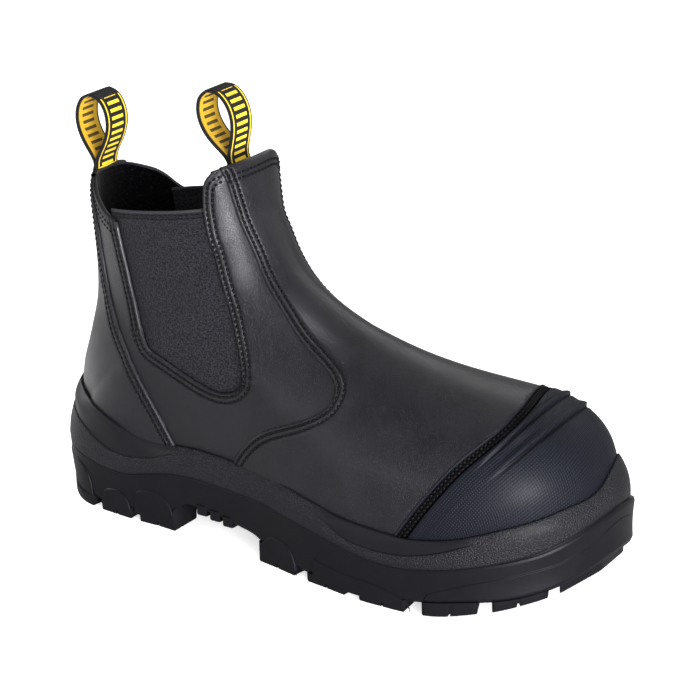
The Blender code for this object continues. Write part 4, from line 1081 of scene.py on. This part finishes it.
# Painted highlight: the tops of the pebbles are coloured lighter; the dust noise adds a random tone.
pebble_highlight_and_dust = grain * (1.0 - pebble) * 0.5 + dust * 0.3
band.feed(
    Base_Color=pebble_highlight_and_dust.blend((0.0035, 0.0035, 0.0045, 1.0), (0.0135, 0.0132, 0.0165, 1.0)),
    Roughness=0.40 + grain * 0.06 + dust * 0.08,
)
band.relief(((1.0 - pebble) * grain, 0.55, 0.9), (coarse * (0.10 + grain), 0.3, 0.4))
out = np.concatenate([RING_OUT, np.full((len(RING), 1), 0.4)], axis=1)
grains = np.array([np.broadcast_to(share, len(RING)) for inset, z, share in profile])
make_piece("midsole_band", [{"points": closed_rows([ring_at(inset, z) for inset, z, share in profile]),
                             "facing": np.concatenate([out, out[:1]]), "grain": closed_rows(grains)}],
           band, ["midsole"])

# Outsole
# The moulded tread of hard black rubber under the band: a smooth wall with raised pads where the lugs come
# up its side, block lugs along both edges, middle lugs, a toe lug and ribs under the arched waist.

# Edge lugs: where each begins and ends along the boot
LUGS = ((6, 34), (40.5, 60.5), (66, 88.5), (144, 168), (176.3, 200), (208.6, 234), (243, 270), (276, 298))
# Pads on the wall above the lugs: where each begins and ends, its height at the rear and at its middle
PADS = ((6, 34, 24, 24), (40.5, 60.5, 9, 14.5), (63, 88.5, 15.5, 19), (144, 169, 7, 16.5), (180, 237, 14, 11.5))
PAD_RISE = 0.65
# Line of the step round the toe: distance along and height
TOE_PAD = ((238, 8), (244, 12), (263.6, 19.8), (284, 25.8), (301, 30.8), (310, 36), (318, 48))
TOE_PAD_START = (236, 246)
# Lugs between the edges: distance along and half-width
MIDDLE_LUGS = ((24, 13), (52, 15), (78, 15), (157, 16), (189, 24), (222, 28), (255, 26))
MIDDLE_LENGTH = 20.0
MIDDLE_NOTCH = 3.0
TOE_LUG = (300, 313.5)
WAIST_RIBS = (105.5, 114, 122.5)
WAIST_RIB_HALF = 3.1
OUTSOLE_IN = 1.1
WALL_HOLLOW = 0.6
HEEL_FLARE = 0.9
HEEL_TUCK = 3.2
TOE_FLARE = 0.8
INNER_TOE_FLARE = 2.2
FLARE_SPAN = (4, 28)
LUG_FACE_IN = 0.7
LUG_DEPTH = 21.0
HEEL_LUG_BEVEL = 1.8
HEEL_BEVEL_SPAN = (4, 30)
SIPE_WIDE, SIPE_DEEP = 1.1, 1.8

sole = Finish("sole_rubber", {"Specular IOR Level": 0.10, "Specular Tint": COOL, "Coat Roughness": 0.28,
                              "Coat Weight": 0.01})
dust = sole.place.noise(60.0, 4.0, 0.6)
fine = sole.place.noise(900.0, 3.0, 0.6)
sole.feed(
    Base_Color=(dust * 0.5 + fine * 0.2).blend((0.0025, 0.0025, 0.0034, 1.0), (0.008, 0.0078, 0.010, 1.0)),
    Roughness=0.36 + dust * 0.14,
)
sole.relief((fine, 0.12, 0.3), (dust, 0.5, 0.12), (1.0 - sole.reads("above").rise(-0.7, 0.5), 0.9, 0.8))


def wall_in(t, at_heel):
    """How far in the wall lies at a share of its height: hollow all round, flared and tucked at the heel."""
    return OUTSOLE_IN + WALL_HOLLOW * np.sin(math.pi * t) - at_heel * (HEEL_FLARE - HEEL_TUCK * (1.0 - t) ** 2)


zu = SIDE_AT["underside"]
toe_line = np.interp(x, *np.array(TOE_PAD, float).T)
toe_flare = at_toe * (TOE_FLARE + INNER_TOE_FLARE * ease(y, *FLARE_SPAN))
wall, above = [], []
for t in np.concatenate([np.linspace(0.0, 0.12, 5), np.linspace(0.15, 0.92, 36), np.linspace(0.94, 1.0, 5)]):
    z = zu + (zp - zu) * t
    rounding = 0.9 * (1.0 - ease(t, 0.0, 0.10)) + 0.5 * ease(t, 0.93, 1.0)
    wall.append(ring_at(wall_in(t, at_heel) + rounding - toe_flare, z))
    above.append(z - toe_line + 20.0 * (1.0 - ease(x, *TOE_PAD_START)))
above.append(above[-1] + 2.0)
wall.append(ring_at(PARTING_IN + 2.5, zp))
out = np.concatenate([RING_OUT, RING_OUT[:1]])[:, [0, 1, 1]] * (1, 1, 0)
patches = [{"points": closed_rows(wall), "facing": out, "above": closed_rows(above)}]
half = len(RING) // 2
t = np.linspace(0.0, 1.0, 14)[None, :, None]
under = wall[0]
across = under[:half + 1, None] * (1 - t) + np.roll(under[::-1], 1, axis=0)[:half + 1, None] * t
patches.append({"points": across, "facing": (0, 0, -1), "above": np.full(across.shape[:2], -10.0)})
make_piece("outsole_body", patches, sole, ["outsole"])


def edge_station(at_x, side):
    """Outline point, outward direction and heights where one edge of the sole passes an x."""
    pick = RING[:, 1] < 0 if side == "lateral" else RING[:, 1] >= 0
    order = np.argsort(RING[pick][:, 0])
    xs = RING[pick][order, 0]
    read = lambda values: np.interp(at_x, xs, values[pick][order])
    way = np.array([read(RING_OUT[:, 0]), read(RING_OUT[:, 1])])
    return np.array([at_x, read(RING[:, 1])]), way / np.linalg.norm(way), {k: read(SIDE_AT[k]) for k in SIDE_AT}


def edges_at(at_x):
    """How far to each side the sole reaches at an x: outer, then inner."""
    return [edge_station(at_x, side)[0][1] for side in ("lateral", "medial")]


def tread_at(at_x):
    """Height of the tread's underside at an x."""
    return np.interp(at_x, [row[0] for row in SIDE], [row[1] for row in SIDE])


lug_patches = []


def add_lug(outline, bottom, top):
    """A tread block from its outline, with a rounded foot."""
    outline = np.asarray(outline, float)
    middle = outline.mean(axis=0)
    way = outline - middle
    reach = np.maximum(np.linalg.norm(way, axis=1, keepdims=True), 2.0)
    rows = []
    for z, shrink in ((top, 0.0), (bottom + 1.2, 0.25), (bottom + 0.5, 0.45), (bottom + 0.12, 0.8),
                      (bottom, 1.4)):
        flat = middle + way * (1.0 - shrink / reach)
        rows.append(np.concatenate([flat, np.broadcast_to(z, len(flat))[:, None]], axis=1))
    grid = closed_rows(rows)
    lug_patches.append({"points": grid, "facing": (grid - np.array([*middle, 0.0])) * (1, 1, 0)})
    fan = np.stack([rows[-1], np.broadcast_to(rows[-1].mean(axis=0), rows[-1].shape)])
    lug_patches.append({"points": closed_rows(fan), "facing": (0, 0, -1)})


def rounded(corners, radius=2.0, steps=5):
    """Outline with its corners rounded."""
    corners = np.asarray(corners, float)
    made = []
    for i, corner in enumerate(corners):
        before, after = corners[i - 1] - corner, corners[(i + 1) % len(corners)] - corner
        before, after = before / np.linalg.norm(before), after / np.linalg.norm(after)
        for t in np.linspace(0.0, 1.0, steps):
            made.append(corner + radius * ((1 - t) ** 2 * before + t ** 2 * after))
    return np.array(made)


for first, last in LUGS:
    middle = 0.5 * (first + last)
    sipe = middle + SIPE_WIDE * np.array([-0.65, -0.45, 0.45, 0.65])
    xs = np.sort(np.concatenate([np.linspace(first, last, 13), sipe]))
    cut = np.where(np.abs(xs - middle) < 0.5 * SIPE_WIDE, SIPE_DEEP, 0.0)
    for side in ("lateral", "medial"):
        face, back, low, high = [], [], [], []
        for at_x in xs:
            spot, way, level = edge_station(at_x, side)
            bevel = HEEL_LUG_BEVEL * (1.0 - float(ease(at_x, *HEEL_BEVEL_SPAN)))
            bulge = 0.94 + 0.06 * math.sin(math.pi * (at_x - first) / (last - first))
            face.append(spot - way * (LUG_FACE_IN + bevel))
            back.append(spot - way * LUG_DEPTH * bulge)
            low.append(level["tread"])
            high.append(level["underside"] + 0.6)
        add_lug(face + back[::-1], np.concatenate([low + cut, low[::-1]]), np.array(high + high[::-1]))
for first, last, start_z, peak_z in PADS:
    for side in ("lateral", "medial"):
        pad, out = [], []
        for s in np.concatenate([np.linspace(0.0, 0.9, 31), np.linspace(0.91, 1.0, 16)]):
            spot, way, level = edge_station(first + (last - first) * s, side)
            start = start_z if s < 0.5 else level["tread"] + 1.0
            top = start + (peak_z - start) * math.sqrt(max(1.0 - (1.0 - 2.0 * s) ** 2, 0.0))
            foot = min(level["underside"] - 1.5, top - 0.5)
            z = foot + (top - foot) * np.array([0.0, 0.2, 0.4, 0.6, 0.75, 0.85, 0.90, 0.94, 0.97, 1.0])
            share = np.clip((z - level["underside"]) / (level["parting"] - level["underside"]), 0.0, 1.0)
            inset = wall_in(share, 1.0 - float(ease(spot[0], *HEEL_SPAN))) - PAD_RISE
            inset = inset + 0.9 * ease(top - z, 0.9, 0.0)
            pad.append(np.concatenate([spot - way * inset[:, None], z[:, None]], axis=1))
            out.append([*way, 0.0])
        lug_patches.append({"points": np.array(pad), "facing": np.array(out)[:, None]})
for at_x, half_width in MIDDLE_LUGS:
    middle = 0.5 * sum(edges_at(at_x))
    a, b = at_x - MIDDLE_LENGTH / 2, at_x + MIDDLE_LENGTH / 2
    corners = ((a, middle - half_width + 2), (b, middle - half_width), (b - MIDDLE_NOTCH, middle),
               (b, middle + half_width), (a, middle + half_width - 2), (a + MIDDLE_NOTCH, middle))
    add_lug(rounded(corners), tread_at(at_x) + 0.1, tread_at(at_x) + 8.6)
outer, inner = edges_at(TOE_LUG[0])
far_outer, far_inner = edges_at(TOE_LUG[1] - 1.0)
toe = rounded(((TOE_LUG[0], outer + 3), (TOE_LUG[1] - 2, far_outer + 2),
               (TOE_LUG[1] - 2, far_inner - 2), (TOE_LUG[0], inner - 3)))
add_lug(toe, tread_at(toe[:, 0]), tread_at(toe[:, 0]) + 8.4)
for at_x in WAIST_RIBS:
    outer, inner = edges_at(at_x)
    a, b = at_x - WAIST_RIB_HALF, at_x + WAIST_RIB_HALF
    corners = ((a, outer + 0.7), (b, outer + 0.7), (b, inner - 0.7), (a, inner - 0.7))
    floor_z = edge_station(at_x, "medial")[2]["underside"]
    add_lug(rounded(corners, 1.4), floor_z - 3.4, floor_z + 2.5)
make_piece("outsole_tread", lug_patches, sole)

# Pull loops
# Two loops of 18 mm woven webbing for pulling the boot on, folded double, their ends sewn inside the collar
# at the back and the front. One face is black with a thin yellow border, the other golden yellow.

# Half of a loop from its foot: height, and how far out as a share of the half-width
LOOP = ((0, 0.045), (4, 0.18), (10, 0.56), (17, 0.90), (24, 1.0), (30, 0.86), (34.5, 0.52), (36.5, 0))
LOOP_HALF = 9.5
# Where each loop stands, along and up, then the lean of the loop and of its tails
LOOPS = {
    "pull_loop_back": (19.0, 176.0, -0.07, 0.16),
    "pull_loop_front": (101.2, 190.6, -0.36, -0.30),
}
WEBBING_WIDE = 18.0
WEBBING_THICK = 1.5
WEBBING_EDGE = 0.5
TAIL_LENGTH = 13.0
TAIL_SPREAD = 1.1
STANDING = (45.5, 46.0)
BORDER = ((6.7, 6.9), (7.6, 7.8))
BORDER_FOOT = (44.6, 44.8)
BAR_PITCH = 1.9

webbing = Finish("loop_webbing", {"Specular IOR Level": 0.15, "Sheen Weight": 0.03})
run, across, outer = webbing.reads("run"), webbing.reads("across"), webbing.reads("outer")
warp = across.waves(0.85)
weft = run.waves(0.7)
fibre = webbing.place.noise(1600.0, 3.0, 0.7)
aside = abs(across)
from_top = abs(run)
standing = 1.0 - from_top.rise(*STANDING)
within = 1.0 - aside.rise(*BORDER[1])
border = aside.rise(*BORDER[0]) * within + within * from_top.rise(*BORDER_FOOT)
bars = run.math("PINGPONG", run, BAR_PITCH).rise(0.95, 1.15) * (1.0 - aside.rise(4.5, 4.8))
bare_top = from_top.rise(6.0, 6.4)
mark = (border + bars).math("MINIMUM", border + bars, 1.0) * outer * bare_top * standing
gold = (1.0 - outer) * (1.0 - aside.rise(7.4, 7.7)) * (1.0 - bars * 0.9) * standing
yellow = (warp * 0.6 + fibre * 0.6).blend((0.56, 0.33, 0.008, 1.0), (0.95, 0.68, 0.040, 1.0))
black = (warp * 0.5 + fibre * 0.5).blend((0.0015, 0.0015, 0.002, 1.0), (0.010, 0.010, 0.012, 1.0))
deep = (warp * 0.6 + fibre * 0.6).blend((0.34, 0.19, 0.006, 1.0), (0.66, 0.42, 0.025, 1.0))
# Painted shade: the tails tucked inside the collar are coloured near black, and the gold face above is left off
# them.
black = standing.blend((0.001, 0.001, 0.0014, 1.0), black)
webbing.feed(Base_Color=gold.blend(mark.blend(black, yellow), deep), Roughness=0.66 + fibre * 0.2)
webbing.relief((warp * 0.6 + weft * 0.6, 0.35, 0.7), (fibre, 0.2, 0.3))


def loop_path():
    """Side view of a loop standing on the origin, from one tail over the top to the other."""
    fine = through(LOOP)(np.linspace(0, len(LOOP) - 1, 60))
    up = np.stack([fine[:, 1] * LOOP_HALF, fine[:, 0]], axis=1)
    t = np.linspace(1.0, 0.0, 14)[:-1]
    tail = np.stack([LOOP[0][1] * LOOP_HALF + TAIL_SPREAD * t, -TAIL_LENGTH * t], axis=1)
    one = np.concatenate([tail, up])
    other = one[::-1][1:] * (-1, 1)
    return evenly(np.concatenate([one, other]), 181)


def webbing_section():
    """Closed outline across the webbing: place across, place through it, and 1 on its outer face."""
    flat, thick = WEBBING_WIDE / 2 - WEBBING_EDGE, WEBBING_THICK / 2
    half = [(y, thick, 1.0) for y in np.linspace(-flat, flat, 25)]
    for t in np.linspace(0, math.pi, 7)[1:-1]:
        half.append((flat + WEBBING_EDGE * math.sin(t), thick * math.cos(t), 1.0 if t < 1.57 else 0.0))
    half = np.array(half)
    other = half * (-1, -1, -1) + (0, 0, 1)
    return np.concatenate([half, other, half[:1]])


ring = webbing_section()
for name, (at_x, at_z, lean, tail_lean) in LOOPS.items():
    path = loop_path()
    bend = np.where(path[:, 1] > 0.0, lean, tail_lean)
    path = np.stack([path[:, 0] * np.cos(bend) + path[:, 1] * np.sin(bend),
                     -path[:, 0] * np.sin(bend) + path[:, 1] * np.cos(bend)], axis=1)
    along = np.gradient(path, axis=0)
    along /= np.linalg.norm(along, axis=1, keepdims=True)
    out = np.stack([along[:, 1], -along[:, 0]], axis=1)
    if (out * (path - path.mean(axis=0))).sum() < 0.0:
        out = -out
    run = np.concatenate([[0.0], np.cumsum(np.linalg.norm(np.diff(path, axis=0), axis=1))])
    run = run[:, None] - 0.5 * run[-1]
    aside = np.broadcast_to(ring[:, 0], (len(path), len(ring)))
    way = np.stack([out[:, [0]] * ring[:, 1], aside * 0.05, out[:, [1]] * ring[:, 1]], axis=-1)
    grid = np.stack([at_x + path[:, [0]] + way[..., 0], aside, at_z + path[:, [1]] + way[..., 2]], axis=-1)
    make_piece(name, [{"points": grid, "facing": way, "run": run + 0 * aside, "across": aside,
                       "outer": ring[:, 2] + 0 * run}], webbing, [name])

# Studio
# A white paper floor, two soft boxes off the toe for the long highlights, one above, one at the side, two at
# the heel, two behind for the outlines, and the photograph's long lens.

# Strength of the sky, and how much of it glossy faces do not mirror
SKY = 0.76
SKY_NOT_MIRRORED = 0.55

bpy.ops.mesh.primitive_plane_add(size=8.0)
floor = bpy.context.object
floor.name = "studio_floor"
paper = Finish("white_paper", {"Roughness": 0.9, "Specular IOR Level": 0.1, "Emission Strength": 1.0})
path = Signal(paper.tree)
mirrored = path.node("ShaderNodeLightPath", output="Is Glossy Ray")
seen = path.node("ShaderNodeLightPath", output="Is Camera Ray")
paper.feed(Base_Color=mirrored.blend((0.88, 0.88, 0.88, 1.0), (0.42, 0.42, 0.42, 1.0)),
           Emission_Color=seen.blend((0.0, 0.0, 0.0, 1.0), (0.6, 0.6, 0.6, 1.0)))
floor.data.materials.append(paper.material)

world = bpy.context.scene.world or bpy.data.worlds.new("studio")
bpy.context.scene.world = world
world.use_nodes = True
sky = world.node_tree.nodes["Background"]
sky.inputs["Color"].default_value = (1.0, 1.0, 1.0, 1.0)
ray = Signal(world.node_tree).node("ShaderNodeLightPath", output="Is Glossy Ray")
world.node_tree.links.new((SKY - ray * SKY_NOT_MIRRORED).socket, sky.inputs["Strength"])

# Place, aim, size and power of each light
SOFT_BOXES = {
    "strip_box": ((1.08, -1.00, 0.33), (0.0, 0.0, 0.09), (0.75, 0.70), 29.0),
    "low_card": ((0.78, -0.50, 0.07), (-0.05, -0.02, 0.17), (0.36, 0.26), 13.5),
    "throat_box": ((0.38, -0.08, 1.57), (0.0, 0.0, 0.12), (0.30, 0.30), 7.5),
    "side_box": ((-0.66, -1.28, 0.43), (0.0, 0.0, 0.09), (0.36, 0.34), 1.1),
    "heel_floor": ((-0.40, -0.05, 0.12), (-0.40, -0.05, 0.0), (0.20, 0.20), 1.2),
    "ridge_box": ((0.05, 1.25, 0.90), (0.0, 0.0, 0.09), (1.5, 0.4), 5.0),
    "back_box": ((0.75, 1.10, 0.45), (0.0, 0.0, 0.09), (0.6, 0.5), 1.2),
    "heel_box": ((-1.10, -0.95, 0.60), (0.0, 0.0, 0.09), (0.4, 0.9), 3.0),
}
for name, (place, aim, size, power) in SOFT_BOXES.items():
    light = bpy.data.lights.new(name, "AREA")
    light.shape = "RECTANGLE"
    light.size, light.size_y = size
    light.energy = power
    box = bpy.data.objects.new(name, light)
    box.location = place
    box.rotation_euler = (Vector(aim) - Vector(place)).to_track_quat("-Z", "Y").to_euler()
    bpy.context.scene.collection.objects.link(box)

AZIMUTH, ELEVATION, DISTANCE = math.radians(32.0), math.radians(22.0), 1.24
AIM = Vector((-0.00727, 0.00138, 0.080))
back = Vector((math.sin(AZIMUTH) * math.cos(ELEVATION), -math.cos(AZIMUTH) * math.cos(ELEVATION),
               math.sin(ELEVATION)))
lens = bpy.data.cameras.new("camera")
lens.lens, lens.sensor_width = 127.5, 36.0
lens.shift_x, lens.shift_y = 0.0379, 0.0520
camera = bpy.data.objects.new("camera", lens)
camera.location = AIM + back * DISTANCE
camera.rotation_euler = (-back).to_track_quat("-Z", "Y").to_euler()
bpy.context.scene.collection.objects.link(camera)
bpy.context.scene.camera = camera
bpy.context.scene.view_settings.view_transform = "Standard"
